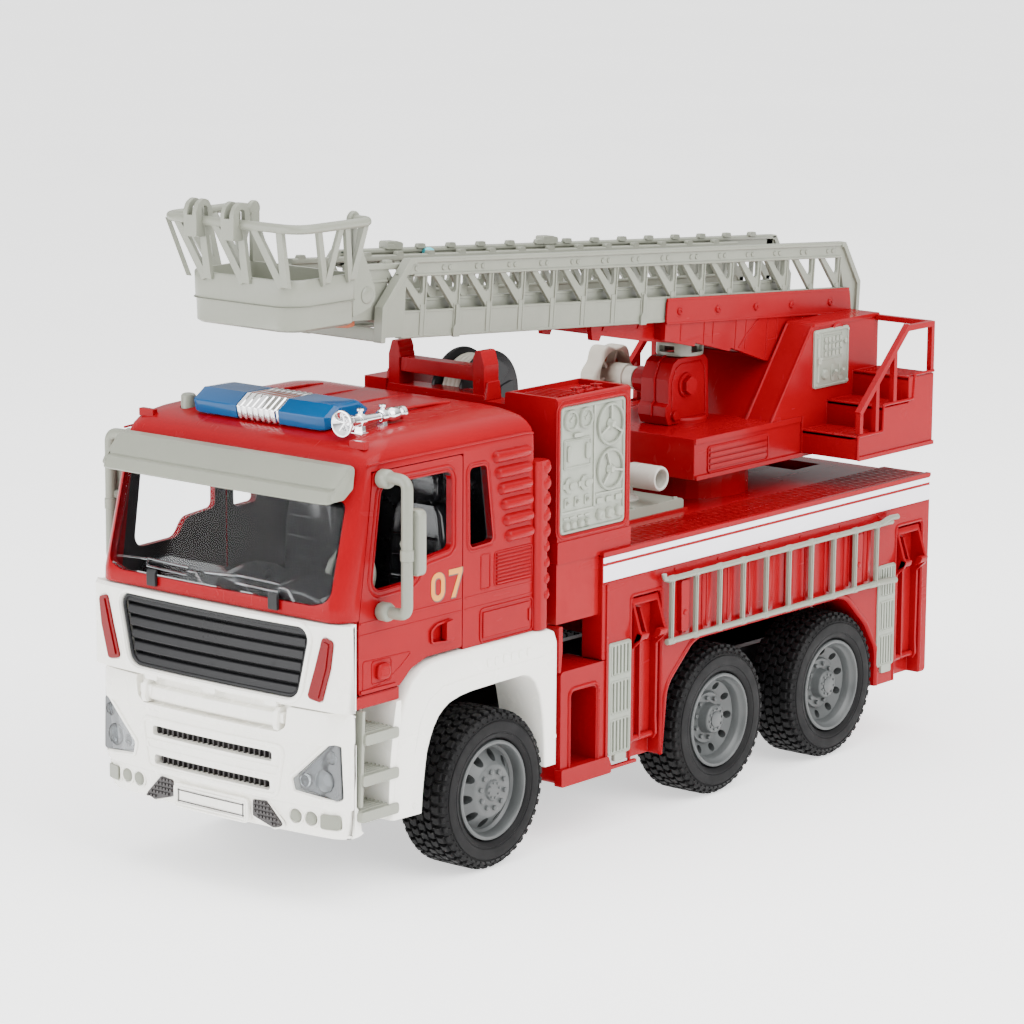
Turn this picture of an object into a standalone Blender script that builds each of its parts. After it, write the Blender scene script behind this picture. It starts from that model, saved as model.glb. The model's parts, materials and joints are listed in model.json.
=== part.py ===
"""Toy fire engine with a turntable ladder, modelled as separate snap-together mouldings.

Axes: +Z up, the cab faces -Y, +X is the vehicle's left side. Metres.
Lengths below are in layout units (lu); one lu is LU metres.
"""
import math

import bmesh
import bpy
from mathutils import Matrix, Vector

# ---------------------------------------------------------------- driving dimensions
LU = 0.00105                 # one layout unit in metres (tyre diameter 69 lu = 72.5 mm)
Y_SHIFT = 26.8               # centres the overall length on Y = 0
GAP = 0.32                   # clearance between neighbouring mouldings

TYRE_R, TYRE_IN, TYRE_OUT = 34.5, 46.5, 72.4     # tyre radius, inner and outer side planes
RIM_R = 21.4                                     # rim outer radius
AXLE_R = 2.5
AXLE_Z = TYRE_R
AXLE_Y = {"front": -145.9, "mid": 14.9, "rear": 103.5}

BODY_X, BODY_Y0, BODY_Y1 = 71.4, -72.0, 183.5    # rear body box
DECK_Z = 124.4
CAB_X = 69.0
TOWER_X, TOWER_Y0, TOWER_Y1, TOWER_Z = 69.4, -101.6, -50.9, 196.6

TT_Y = 80.0                                      # turntable axis
PEDESTAL_R = 31.0
TT_Z0, TT_Z1 = 138.0, 157.0                      # turntable platform underside and top
TT_X = 39.3                                      # platform half width
WALL_IN = 23.5                                   # inner face of the boom side walls
STAIR_X = 72.0

BOOM_Y, BOOM_Z = 148.0, 197.5                    # boom pivot
BOOM_PITCH = math.radians(4.07)                  # stowed pitch, nose up
OUT_X, IN_X = 21.5, 16.5                         # half widths of outer and inner ladder
PIN_DROP = 3.2                                   # boom pin below the ladder floor datum
BUCKET_Y, BUCKET_Z = -178.0, 245.0               # bucket levelling pin
SOUND_BUTTON = (-46.0, -207.0, 189.5)            # roof push button, lower end

COLOURS = {
    "red": ((0.62, 0.012, 0.016), 0.22, 0.0),
    "white": ((0.80, 0.78, 0.72), 0.32, 0.0),
    "sage": ((0.47, 0.49, 0.44), 0.42, 0.0),
    "rim_grey": ((0.20, 0.21, 0.21), 0.40, 0.0),
    "rubber": ((0.018, 0.018, 0.020), 0.75, 0.0),
    "black": ((0.015, 0.015, 0.017), 0.35, 0.0),
    "steel": ((0.55, 0.56, 0.58), 0.30, 1.0),
    "chrome": ((0.80, 0.81, 0.83), 0.10, 1.0),
    "blue": ((0.01, 0.12, 0.42), 0.10, 0.0),
    "clear": ((0.80, 0.84, 0.86), 0.06, 0.0),
    "cream": ((0.70, 0.66, 0.56), 0.35, 0.0),
}


# ---------------------------------------------------------------- scene helpers
for _o in list(bpy.data.objects):
    bpy.data.objects.remove(_o, do_unlink=True)

_materials = {}


def material(key, node):
    rgb, rough, metal = COLOURS[key]
    m = bpy.data.materials.new(node + "_" + key)
    m.use_nodes = True
    bsdf = m.node_tree.nodes["Principled BSDF"]
    bsdf.inputs["Base Color"].default_value = (*rgb, 1.0)
    bsdf.inputs["Roughness"].default_value = rough
    bsdf.inputs["Metallic"].default_value = metal
    if key in ("clear", "blue"):
        bsdf.inputs["Transmission Weight"].default_value = 0.9
    return m


def world(p):
    return Vector((p[0] * LU, (p[1] + Y_SHIFT) * LU, p[2] * LU))


def close_up(bm):
    bmesh.ops.remove_doubles(bm, verts=bm.verts, dist=1e-4)
    bmesh.ops.recalc_face_normals(bm, faces=bm.faces)
    return bm


# ---------------------------------------------------------------- solids in layout units
def box(x0, x1, y0, y1, z0, z1):
    bm = bmesh.new()
    bmesh.ops.create_cube(bm, size=1.0)
    for v in bm.verts:
        v.co = Vector((x0 + (v.co.x + 0.5) * (x1 - x0),
                       y0 + (v.co.y + 0.5) * (y1 - y0),
                       z0 + (v.co.z + 0.5) * (z1 - z0)))
    return close_up(bm)


def prism(axis, pts, a0, a1):
    """Outline pts extruded from a0 to a1. Axis x takes (y, z), y takes (x, z), z takes (x, y)."""
    put = {"x": lambda p, a: (a, p[0], p[1]),
           "y": lambda p, a: (p[0], a, p[1]),
           "z": lambda p, a: (p[0], p[1], a)}[axis]
    bm = bmesh.new()
    lo = [bm.verts.new(put(p, a0)) for p in pts]
    hi = [bm.verts.new(put(p, a1)) for p in pts]
    bm.faces.new(lo)
    bm.faces.new(hi)
    n = len(pts)
    for i in range(n):
        bm.faces.new((lo[i], lo[(i + 1) % n], hi[(i + 1) % n], hi[i]))
    return close_up(bm)


def lathe(axis, c, profile, n=24, closed=True, turn=0.0):
    """Profile of (r, a) pairs turned about an axis through c. Points with r = 0 become poles."""
    bm = bmesh.new()
    rings = []
    for r, a in profile:
        ring = []
        for k in range(1 if r == 0 else n):
            t = 2 * math.pi * (k + 0.5) / n + turn
            u, v = r * math.cos(t), r * math.sin(t)
            p = {"x": (a, c[0] + u, c[1] + v),
                 "y": (c[0] + u, a, c[1] + v),
                 "z": (c[0] + u, c[1] + v, a)}[axis]
            ring.append(bm.verts.new(p))
        rings.append(ring)
    pairs = list(zip(rings, rings[1:] + rings[:1])) if closed else list(zip(rings, rings[1:]))
    for p, q in pairs:
        for k in range(n):
            j = (k + 1) % n
            if len(p) == 1 and len(q) == 1:
                continue
            if len(p) == 1:
                bm.faces.new((p[0], q[k], q[j]))
            elif len(q) == 1:
                bm.faces.new((p[k], p[j], q[0]))
            else:
                bm.faces.new((p[k], p[j], q[j], q[k]))
    return close_up(bm)


def cyl(axis, c, r, a0, a1, n=20, r1=None):
    return lathe(axis, c, [(0, a0), (r, a0), (r if r1 is None else r1, a1), (0, a1)], n, closed=False)


def circle(cy, cz, r, n=24, a0=0.0, a1=360.0, ends=False):
    m = n + 1 if ends else n
    return [(cy + r * math.cos(math.radians(a0 + (a1 - a0) * k / n)),
             cz + r * math.sin(math.radians(a0 + (a1 - a0) * k / n))) for k in range(m)]


def rounded(x0, x1, y0, y1, r, n=4):
    pts = []
    for cx, cy, a in ((x1 - r, y1 - r, 0), (x0 + r, y1 - r, 90), (x0 + r, y0 + r, 180), (x1 - r, y0 + r, 270)):
        pts += circle(cx, cy, r, n, a, a + 90, ends=True)
    return pts


def tube(path, r, n=8):
    """Round bar along a polyline with mitred corners."""
    pts = [Vector(p) for p in path]
    bm = bmesh.new()
    rings = []
    up = None
    for i, p in enumerate(pts):
        d0 = (p - pts[i - 1]).normalized() if i else None
        d1 = (pts[i + 1] - p).normalized() if i + 1 < len(pts) else None
        t = (d0 + d1).normalized() if d0 and d1 else (d0 or d1)
        run = d1 or d0
        if up is None:
            ref = Vector((0, 0, 1)) if abs(run.z) < 0.9 else Vector((1, 0, 0))
            up = run.cross(ref).normalized()
        else:
            up = (up - t * up.dot(t)).normalized()
        side = t.cross(up).normalized()
        k = 1.0
        if d0 and d1:
            k = 1.0 / max(0.35, math.sqrt((1 + d0.dot(d1)) / 2))
        bend = (d1 - d0).normalized() if d0 and d1 and (d1 - d0).length > 1e-6 else None
        ring = []
        for j in range(n):
            a = 2 * math.pi * j / n
            off = up * math.cos(a) + side * math.sin(a)
            if bend:
                off += bend * off.dot(bend) * (k - 1)
            ring.append(bm.verts.new(p + off * r))
        rings.append(ring)
    for a, b in zip(rings, rings[1:]):
        for j in range(n):
            bm.faces.new((a[j], a[(j + 1) % n], b[(j + 1) % n], b[j]))
    bm.faces.new(rings[0])
    bm.faces.new(rings[-1])
    return close_up(bm)


def bar(p, q, w, t, roll=(0, 0, 1)):
    """Rectangular bar of width w (across roll) and thickness t from p to q."""
    p, q = Vector(p), Vector(q)
    d = (q - p).normalized()
    s = d.cross(Vector(roll)).normalized()
    u = s.cross(d).normalized()
    bm = bmesh.new()
    vs = [bm.verts.new(e + s * (w / 2) * a + u * (t / 2) * b)
          for e in (p, q) for a, b in ((-1, -1), (1, -1), (1, 1), (-1, 1))]
    for f in ((0, 1, 2, 3), (4, 5, 6, 7), (0, 1, 5, 4), (1, 2, 6, 5), (2, 3, 7, 6), (3, 0, 4, 7)):
        bm.faces.new([vs[i] for i in f])
    return close_up(bm)


def mirrored(bm):
    c = bm.copy()
    for v in c.verts:
        v.co.x = -v.co.x
    return close_up(c)


def both(*bms):
    out = []
    for b in bms:
        out += [b, mirrored(b)]
    return out


def merged(bms):
    out = bmesh.new()
    for b in bms:
        me = bpy.data.meshes.new("tmp")
        b.to_mesh(me)
        out.from_mesh(me)
        bpy.data.meshes.remove(me)
    return out


def boolean(a, others, op):
    """a combined with the others by Blender's exact Boolean; returns a new bmesh."""
    if not others:
        return a
    oa, ob = [], []
    for holder, bm in ((oa, a), (ob, merged(others))):
        me = bpy.data.meshes.new("operand")
        bm.to_mesh(me)
        o = bpy.data.objects.new("operand", me)
        bpy.context.scene.collection.objects.link(o)
        holder.append(o)
    m = oa[0].modifiers.new("combine", "BOOLEAN")
    m.solver = "EXACT"
    m.use_self = len(others) > 1
    m.operation = op
    m.object = ob[0]
    dg = bpy.context.evaluated_depsgraph_get()
    dg.update()
    me = bpy.data.meshes.new_from_object(oa[0].evaluated_get(dg))
    out = bmesh.new()
    out.from_mesh(me)
    bpy.data.meshes.remove(me)
    for o in oa + ob:
        d = o.data
        bpy.data.objects.remove(o, do_unlink=True)
        bpy.data.meshes.remove(d)
    return out


def union(bms):
    return boolean(bms[0], bms[1:], "UNION")


def cut(a, cuts):
    return boolean(a, cuts, "DIFFERENCE")


def common(a, b):
    return boolean(a, [b], "INTERSECT")


def node(name, bm, colour, origin=(0.0, 0.0, 0.0), pitch=0.0, parent=None):
    """Makes the named object. The mesh is given in layout units about the world origin, or about
    the boom pivot when pitch is set; origin is where its joint axis passes."""
    bmesh.ops.remove_doubles(bm, verts=bm.verts, dist=2e-3)
    bmesh.ops.dissolve_degenerate(bm, edges=bm.edges, dist=2e-3)
    bmesh.ops.dissolve_limit(bm, angle_limit=math.radians(0.4), verts=bm.verts, edges=bm.edges)
    bmesh.ops.triangulate(bm, faces=bm.faces)
    o0 = Vector(origin)
    for v in bm.verts:
        v.co = (v.co - (Vector((0, 0, 0)) if pitch else o0)) * LU
    me = bpy.data.meshes.new(name)
    bm.to_mesh(me)
    bm.free()
    me.shade_smooth()
    me.set_sharp_from_angle(angle=math.radians(32))
    o = bpy.data.objects.new(name, me)
    o.location = world(o0)
    o.rotation_euler = (-pitch, 0.0, 0.0)
    me.materials.append(material(colour, name))
    bpy.context.scene.collection.objects.link(o)
    if parent is not None:
        bpy.context.view_layer.update()
        o.parent = parent
        o.matrix_parent_inverse = parent.matrix_world.inverted()
    return o


def pivot(name, at):
    e = bpy.data.objects.new(name, None)
    e.empty_display_size = 0.01
    e.location = world(at)
    bpy.context.scene.collection.objects.link(e)
    bpy.context.view_layer.update()
    return e


# ---------------------------------------------------------------- running gear
frame = cut(box(-38, 38, -224, 176, 27, 52), [box(-33, 33, -219, 171, 31, 60)])
frame = union([frame] + both(
    box(36, 66.5, -67, -57, 40, 50), box(36, 66.5, 147, 155, 40, 50), box(36, 47, -212, -202, 44, 52)))
frame = cut(frame, [cyl("x", (y, AXLE_Z), AXLE_R + 0.5, -80, 80, 16) for y in AXLE_Y.values()])
node("chassis_frame", frame, "black")

for where, y in AXLE_Y.items():
    hub = pivot("pivot_" + where + "_axle", (0, y, AXLE_Z))
    node(where + "_axle", cyl("x", (y, AXLE_Z), AXLE_R, -63, 63, 12), "steel", (0, y, AXLE_Z), parent=hub)
    for side, s in (("left", 1), ("right", -1)):
        rim = [(0, 66.6), (7.5, 66.6), (7.5, 60.5), (16.5, 60.0), (19.0, 71.6),
               (RIM_R, 71.6), (RIM_R, 48.0), (18.4, 48.0), (16.5, 55.5), (6.5, 55.5), (6.5, 50.0),
               (AXLE_R + GAP, 50.0), (AXLE_R + GAP, 63.4), (0, 63.4)]
        b = lathe("x", (y, AXLE_Z), rim, 20, closed=False)
        node("rim_%s_%s" % (where, side), b if s > 0 else mirrored(b), "rim_grey", (0, y, AXLE_Z), parent=hub)
        n = 28
        k = 1 / math.cos(math.pi / n)
        tyre = [(RIM_R + GAP + 0.3, TYRE_IN), (31.5 * k, TYRE_IN), (TYRE_R * k, TYRE_IN + 3),
                (TYRE_R * k, TYRE_OUT - 3), (31.5 * k, TYRE_OUT), (RIM_R + GAP + 0.3, TYRE_OUT)]
        b = lathe("x", (y, AXLE_Z), tyre, n)
        node("tyre_%s_%s" % (where, side), b if s > 0 else mirrored(b), "rubber", (0, y, AXLE_Z), parent=hub)

# ---------------------------------------------------------------- cab
outer_side = [(-231, 89.5), (-231, 121.2), (-240.4, 121.6), (-240.8, 127.0), (-229.8, 168), (-225.5, 184),
              (-219, 190.5), (-205, 194.6), (-170, 196.6), (-130, 196.2), (-120, 193), (-116, 184.5),
              (-116, 98.5), (-222, 98.5), (-222, 89.5)]
outer_front = [(CAB_X, 80), (CAB_X, 183), (66.5, 189), (60, 193.2), (45, 195.6), (0, 197.4),
               (-45, 195.6), (-60, 193.2), (-66.5, 189), (-CAB_X, 183), (-CAB_X, 80)]
inner_side = [(-227.5, 80), (-227.5, 121.6), (-237.0, 124), (-237.2, 127.6), (-226.4, 168), (-222, 182.5),
              (-216, 187), (-204, 190.8), (-170, 193), (-131, 192.6), (-122.5, 190), (-119.4, 184), (-119.4, 80)]
inner_front = [(65.4, 70), (65.4, 182.5), (63.5, 186.5), (58.5, 189.7), (44, 192.2), (0, 193.8),
               (-44, 192.2), (-58.5, 189.7), (-63.5, 186.5), (-65.4, 182.5), (-65.4, 70)]
cab = common(prism("x", outer_side, -CAB_X - 1, CAB_X + 1), prism("y", outer_front, -250, -110))
cab = union([cab] + both(prism("z", [(64, -117), (71, -117), (71, -110.5), (69.5, -108), (66, -108), (64, -110)], 98.5, 172)))
hollow = common(prism("x", inner_side, -70, 70), prism("y", inner_front, -250, -110))
door_hole = [(-228.8, 70), (-228.8, 118.3), (-219.8, 181.4), (-163.2, 181.4), (-163.2, 70)]
slit = [(-158.9, 140.8), (-159.4, 174.6), (-148.6, 174.6), (-143.9, 141.4)]
cab = cut(cab, [hollow])
cab = cut(cab, both(prism("x", door_hole, 60, 80), prism("x", slit, 60, 80)) +
          [prism("y", [(62.6, 134), (62.6, 168.5), (-62.6, 168.5), (-62.6, 134), (-56, 127.4), (56, 127.4)], -250, -215),
           cyl("z", SOUND_BUTTON[:2], 3.6, 180, 205, 16)])
node("cab_shell", cab, "red")

# doors with their mirrors, hinged at the front edge
door_line = [(-228.4, 90.2), (-228.4, 118.2), (-219.4, 181.0), (-163.6, 181.0), (-163.6, 99.4),
             (-186, 99.2), (-196, 96.0), (-203, 90.2)]
door_window = [(-220.4, 131.8), (-214.4, 175), (-170.5, 175), (-170.5, 142.4), (-188.5, 140.6), (-194, 132.6)]
door = union([prism("x", door_line, 65.8, 68.9), box(67, 70.6, -181.5, -173.5, 106, 116)])
door = cut(door, [prism("x", door_window, 60, 75)])
mirror = union([
    tube([(69.25, -215.6, 178.2), (78, -216.0, 179.2), (82.4, -216.0, 178.4), (84, -216.0, 175.5),
          (84, -216.0, 128.0), (82.4, -216.0, 125.0), (78, -215.8, 124.2), (69.25, -215.0, 124.0)], 2.5, 8),
    prism("y", rounded(76, 87, 140, 166, 3.0, 3), -215.2, -207)])
DOOR_PIN = (68.4, -227.9, 130.0)
for side, s in (("left", 1), ("right", -1)):
    pin = (DOOR_PIN[0] * s, DOOR_PIN[1], DOOR_PIN[2])
    hinge = pivot("pivot_door_" + side, pin)
    node("door_" + side, (door.copy() if s > 0 else mirrored(door)), "red", pin, parent=hinge)
    node("mirror_" + side, (mirror.copy() if s > 0 else mirrored(mirror)), "sage", pin, parent=hinge)

# white front mouldings
def front_outline(x, y_side, y_back, thick):
    o = [(x, y_back), (x, y_side), (x - 7, y_side - 5.5), (50, -242.0), (22, -243.4)]
    i = [(22, -243.4 + thick), (48, -242.0 + thick), (x - 9, y_side - 5.0 + thick), (x - thick, y_back)]
    right = [(-a, b) for a, b in reversed(o)]
    return o + right + [(-a, b) for a, b in reversed(i)] + i


panel = prism("z", front_outline(73.2, -235.0, -231.9, 5.2), 84.6, 120.9)
grille_cut = [(54.0, 118.6), (47.0, 87.6), (-47.0, 87.6), (-54.0, 118.6)]
panel = cut(panel, [prism("y", grille_cut, -250, -225)])
node("front_panel", panel, "white")
node("grille", prism("y", [(53.5, 118.1), (46.6, 88.1), (-46.6, 88.1), (-53.5, 118.1)], -242.2, -237.5), "black")

bumper_plan = front_outline(69.4, -232.2, -230.0, 6.5)
bumper = prism("z", bumper_plan, 30.4, 84.2)
lamp_xz = [(44.0, 50.5), (68.0, 49.0), (68.6, 70.0)]
lamp_big = [(40.5, 50.0), (75.0, 47.6), (75.0, 76.0)]
bumper = cut(bumper, both(prism("y", lamp_big, -250, -220)) + [
    box(-33, 33, -250, -242.2, 60, 63.6), box(-32.5, 32.5, -250, -242.2, 47.6, 51.4),
    box(-8, 8, -250, -230, 80.5, 90)])
bumper = union([bumper, box(-21.2, 21.2, -244.2, -240, 30.8, 41.2)])
node("front_bumper", bumper, "white")
lamp_block = prism("z", [(43, -236), (43, -242.4), (50, -241.6), (62.4, -237.7), (68.9, -232.2), (68.9, -230.4), (58, -230.4)],
                   40, 80)
lamp = common(prism("y", lamp_xz, -250, -220), lamp_block)
node("headlamp_left", lamp.copy(), "clear")
node("headlamp_right", mirrored(lamp), "clear")

arch = circle(-149, 33, 41.0, 20, 0, 180, ends=True)
fender_line = ([(-102.2, 37.4), (-102.2, 92), (-104.5, 97.2), (-116, 98.1), (-163, 98.1), (-185, 97.6),
                (-195, 94.5), (-201, 88), (-205.5, 76), (-209, 60), (-209, 34.0)] + [(-190, 33.0)] +
               [(y, z) for y, z in reversed(arch[1:-1])] + [(-108.0, 37.4)])
inner_line = ([(-105.4, 40.5), (-105.4, 90.8), (-107, 94.4), (-116, 94.9), (-163, 94.9), (-183.6, 94.4),
               (-192.6, 91.6), (-197.8, 86), (-202.4, 75), (-205.8, 60), (-205.8, 36.5), (-193.2, 36.5)] +
              [(y, z) for y, z in reversed(circle(-149, 33, 44.2, 20, 5, 175, ends=True))])
fender = cut(prism("x", fender_line, 48.5, 71.3), [prism("x", inner_line, 40, 67.6)])
fender = union([fender,
                box(49, 69.4, -229.6, -206, 41.5, 44.6), box(49, 69.4, -229.6, -206, 54.0, 57.0),
                box(49, 69.4, -229.6, -204, 71.4, 74.6), box(48.6, 52, -229.6, -203, 36, 84)])
fender = cut(fender, [box(40, 80, -231, -195, 84.3, 110), box(64.6, 80, -204.2, -115.9, 98.3, 110)])
node("fender_left", fender.copy(), "white")
node("fender_right", mirrored(fender), "white")

shade = prism("x", [(-226.6, 186.0), (-231.5, 183.6), (-240.4, 170.6), (-240.6, 168.2), (-238.6, 168.6), (-230.6, 179.6),
                    (-227.4, 181.6)], -66.5, 66.5)
node("sun_visor", shade, "sage")
glass = prism("x", [(-240.6, 129.0), (-231.4, 163.4), (-229.2, 163.0), (-238.4, 128.6)], -61.8, 61.8)
glass = common(glass, prism("y", [(61.8, 134.4), (61.8, 170), (-61.8, 170), (-61.8, 134.4), (-55.8, 128.0), (55.8, 128.0)], -250, -220))
node("windshield", glass, "clear")

seat = lambda x: [box(x - 17, x + 17, -176, -146, 100, 108), box(x - 17, x + 17, -150, -142, 104, 150)]
inside = union([box(-56, 56, -216, -122, 99, 103)] + seat(30) + seat(-30) +
               [prism("x", [(-218, 101), (-218, 122), (-210, 126), (-200, 120), (-198, 101)], -60, 60)])
node("cab_interior", inside, "black")
wheel = lathe("y", (30, 128), [(11.2, -190.6), (13.2, -189.2), (11.2, -187.8), (9.6, -189.2)], 16)
wheel = union([wheel, box(19.5, 40.5, -190.2, -188.2, 127, 129), cyl("y", (30, 128), 2.6, -209.0, -187.6, 10)])
wheel = cut(wheel, [prism("x", [(-230, 90), (-230, 126.8), (-210, 126.8), (-199.3, 120.4), (-197.3, 100)], -60, 60)])
node("steering_wheel", wheel, "sage")

# light bar, horn and sound button on the roof
def bar_section(grow):
    return [(-206.0, 195.3 - grow), (-213.2 - grow, 193.1 - grow), (-214.4 - grow, 199.0), (-207.5, 203.6 + grow),
            (-191.5, 203.6 + grow), (-185.0 + grow, 199.4), (-187.0, 197.6)]


node("light_bar_base", union([prism("x", bar_section(0.15), -11.4, 11.4), box(-34, 34, -206, -190, 196.9, 198.6)]),
     "chrome")
lens = cut(prism("x", bar_section(0), 11.8, 38.0), [box(0, 34.4, -206.4, -189.6, 190, 198.95)])
node("light_lens_left", lens.copy(), "blue")
node("light_lens_right", mirrored(lens), "blue")
horn = union([lathe("y", (50, 197.6), [(0, -217.6), (5.2, -217.6), (5.2, -216.4), (2.6, -210), (1.5, -204), (1.5, -184),
                                       (2.8, -181), (2.8, -180), (0, -180)], 14, closed=False),
              box(49, 51, -205, -202.5, 195.2, 197.6), box(49, 51, -190, -187.5, 195.4, 197.6)])
node("air_horn", horn, "chrome")
node("sound_button", cyl("z", SOUND_BUTTON[:2], 3.2, SOUND_BUTTON[2], 199.4, 16), "sage", SOUND_BUTTON)

# ---------------------------------------------------------------- rear body
body = cut(box(-BODY_X, BODY_X, BODY_Y0, BODY_Y1, 27, DECK_Z), [box(-68, 68, -68.5, 180, 10, 121)])
body = union([body] + both(
    box(50, 71.2, -100.2, -68, 27, 77), box(62, 73.4, -90, -45.5, 25.8, 30.6),
    box(62, 73.4, 139.4, 160, 27.2, 30.4), box(60, 74.0, 176, 186.8, 27.2, 31.0)))
wheel_hole = [(-27.2, 10), (-27.2, 27.9), (-24.5, 57.3), (-4.5, 75.2), (112.5, 75.2), (130.0, 59.2), (139.2, 45), (139.2, 10)]
body = cut(body, both(
    prism("x", wheel_hole, 60, 90), box(60, 90, -50.5, -30.2, 31.2, 101.8), box(60, 90, 156.4, 176.8, 32.0, 101.8),
    box(40, 90, -92.5, -75.5, 32, 67)) + [
    cyl("z", (0, TT_Y), PEDESTAL_R + 0.5, 100, 140, 32), box(-15, 15, 150, 171, 110, 140),
    box(-38.6, 38.6, -76, -66, 10, 53)])
node("body_shell", body, "red")

# pump cabinet behind the cab, with the bay for the hose reel
tower = union([
    box(40, TOWER_X, TOWER_Y0, TOWER_Y1, DECK_Z + GAP, TOWER_Z),
    box(-TOWER_X, -39.5, TOWER_Y0, TOWER_Y1, DECK_Z + GAP, 183.0),
    box(-40.5, 41, TOWER_Y0, TOWER_Y1, DECK_Z + GAP, 163.0),
    box(-39.5, -28.0, -100.6, TOWER_Y1 - 1, 160, 195.0),
    box(-TOWER_X, TOWER_X, TOWER_Y0, -97.4, 77.6, 126),
    box(-41, 41, -101.0, -96.0, 160, 191.0)] + both(
    box(19, 41, -101.0, -88.5, 158, 191.0), box(12.2, 16.8, -80, -68, 160, 193.5)))
tower = cut(tower, [cyl("x", (-74, 188), 2.9, -22, 22, 14), box(43.2, 66.4, -97.0, -54, 120, 193.4),
                    box(-66.4, -43.2, -97.0, -54, 120, 179.8), box(-37, 37, -97.0, -54, 120, 159.8)])
node("pump_cabinet", tower, "red")

rest = union(both(box(21, 27.4, -100.4, -90.4, 191.3, 205), box(23.6, 27.4, -100.4, -90.4, 203, 212.2),
                  box(20.2, 24, -100.4, -90.4, 204.6, 207.6)) + [box(-22, 22, -100.4, -96.2, 198.6, 205)])
node("ladder_rest", rest, "red")

REEL = (0.0, -74.0, 188.0)
reel_hub = pivot("pivot_hose_reel", REEL)
reel = [(0, 17.6), (2.5, 17.6), (2.5, 9.0), (20.0, 9.0), (20.0, 6.6), (8.6, 6.6), (8.6, -6.6), (20.0, -6.6), (20.0, -9.0),
        (2.5, -9.0), (2.5, -17.6), (0, -17.6)]
node("hose_reel", lathe("x", (REEL[1], REEL[2]), reel, 24, closed=False), "black", REEL, parent=reel_hub)
node("wound_hose", lathe("x", (REEL[1], REEL[2]), [(8.9, -6.2), (17.0, -6.2), (17.0, 6.2), (8.9, 6.2)], 24), "cream",
     REEL, parent=reel_hub)

node("deck_cover", box(-33.6, 33.6, -50.2, 36, DECK_Z + GAP, 129.4), "sage")
nozzle = union([cyl("z", (16, 12.5), 5.0, 129.75, 132.5, 14), cyl("z", (16, 12.5), 3.2, 131, 142, 12),
                lathe("x", (12.5, 142), [(0, 9), (4.0, 9), (4.0, 24), (4.6, 25), (4.95, 38.5), (3.6, 38.5), (3.2, 28), (0, 28)],
                      16, closed=False)])
node("water_nozzle", nozzle, "cream")

# ---------------------------------------------------------------- outriggers and side ladders
def outrigger(y0, y1):
    prof = [(69.2, 100.6), (72.4, 100.9), (79.6, 82.0), (78.6, 74.0), (72.2, 38.5), (69.0, 34.2), (65.6, 34.2), (64.6, 38.5),
            (67.8, 44.0), (74.6, 78.0)]
    b = prism("y", prof, y0 + 0.7, y1 - 0.7)
    trough = [(72.6, 98.0), (80.6, 82.2), (79.6, 74.0), (73.4, 45.0), (71.6, 45.0), (76.4, 78.0)]
    return cut(b, [prism("y", trough, y0 + 4.2, y1 - 4.2)])


for tag, (y0, y1) in (("front", (-50.5, -30.2)), ("rear", (156.4, 176.8))):
    leg = outrigger(y0, y1)
    for side, s in (("left", 1), ("right", -1)):
        at = (67.2 * s, (y0 + y1) / 2, 37.6)
        e = pivot("pivot_outrigger_%s_%s" % (tag, side), at)
        node("outrigger_%s_%s" % (tag, side), leg.copy() if s > 0 else mirrored(leg), "red", at, parent=e)

rungs = [box(73.6, 75.4, -26.5 + 17.8 * k, -24.5 + 17.8 * k, 79, 106.5) for k in range(10)]
side = union([box(73.2, 76.4, -29.6, 146, 105.4, 108.4), box(73.2, 76.4, -29.6, 146, 77.4, 80.4)] + rungs +
             [box(72.0, 76.4, 142, 146, 105.4, 108.4), box(72.0, 76.4, 142, 146, 77.4, 80.4)])
node("side_ladder_left", side.copy(), "sage")
node("side_ladder_right", mirrored(side), "sage")

# ---------------------------------------------------------------- turntable
TT = (0.0, TT_Y, TT_Z0)
table = cut(box(-TT_X, TT_X, 36, 183.3, TT_Z0, TT_Z1), [box(-TT_X + 3, TT_X - 3, 39, 180, TT_Z0 - 5, TT_Z1 - 3)])
stair = [(120, 139.6), (120, 150.6), (141, 150.6), (141, 162.2), (162, 162.2), (162, 174.0), (183.3, 174.0), (183.3, 139.6)]
table = union([table,
               lathe("z", (0, TT_Y), [(0, 114.5), (34.0, 114.5), (34.0, 119.6), (PEDESTAL_R, 119.6), (PEDESTAL_R, 155.5), (0, 155.5)], 32,
                     closed=False),
               prism("x", stair, TT_X - 1, STAIR_X), prism("x", stair, -STAIR_X, -TT_X + 1)] +
              both(prism("x", [(96, 155.5), (128.5, 199.6), (183.3, 199.6), (183.3, 155.5)], WALL_IN, TT_X)) +
              [cyl("x", (BOOM_Y, BOOM_Z - PIN_DROP), 3.0, -WALL_IN - 1, WALL_IN + 1, 16),
               prism("x", [(104, 155.5), (104, 164), (108, 168.5), (128, 168.5), (128, 155.5)], -24, 24)])
table = cut(table, [cyl("z", (0, TT_Y), 24, 100, 151, 24),
                    ] + both(prism("x", [(124, 130), (124, 147.6), (144, 147.6), (144, 159.2), (165, 159.2), (165, 171),
                                         (180, 171), (180, 130)], 42.4, 69),
                             prism("x", [(103, 150), (131.6, 196.4), (180, 196.4), (180, 150)], WALL_IN + 3, TT_X - 3)))
turn = pivot("pivot_turntable", TT)
node("turntable", table, "red", TT, parent=turn)

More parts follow.
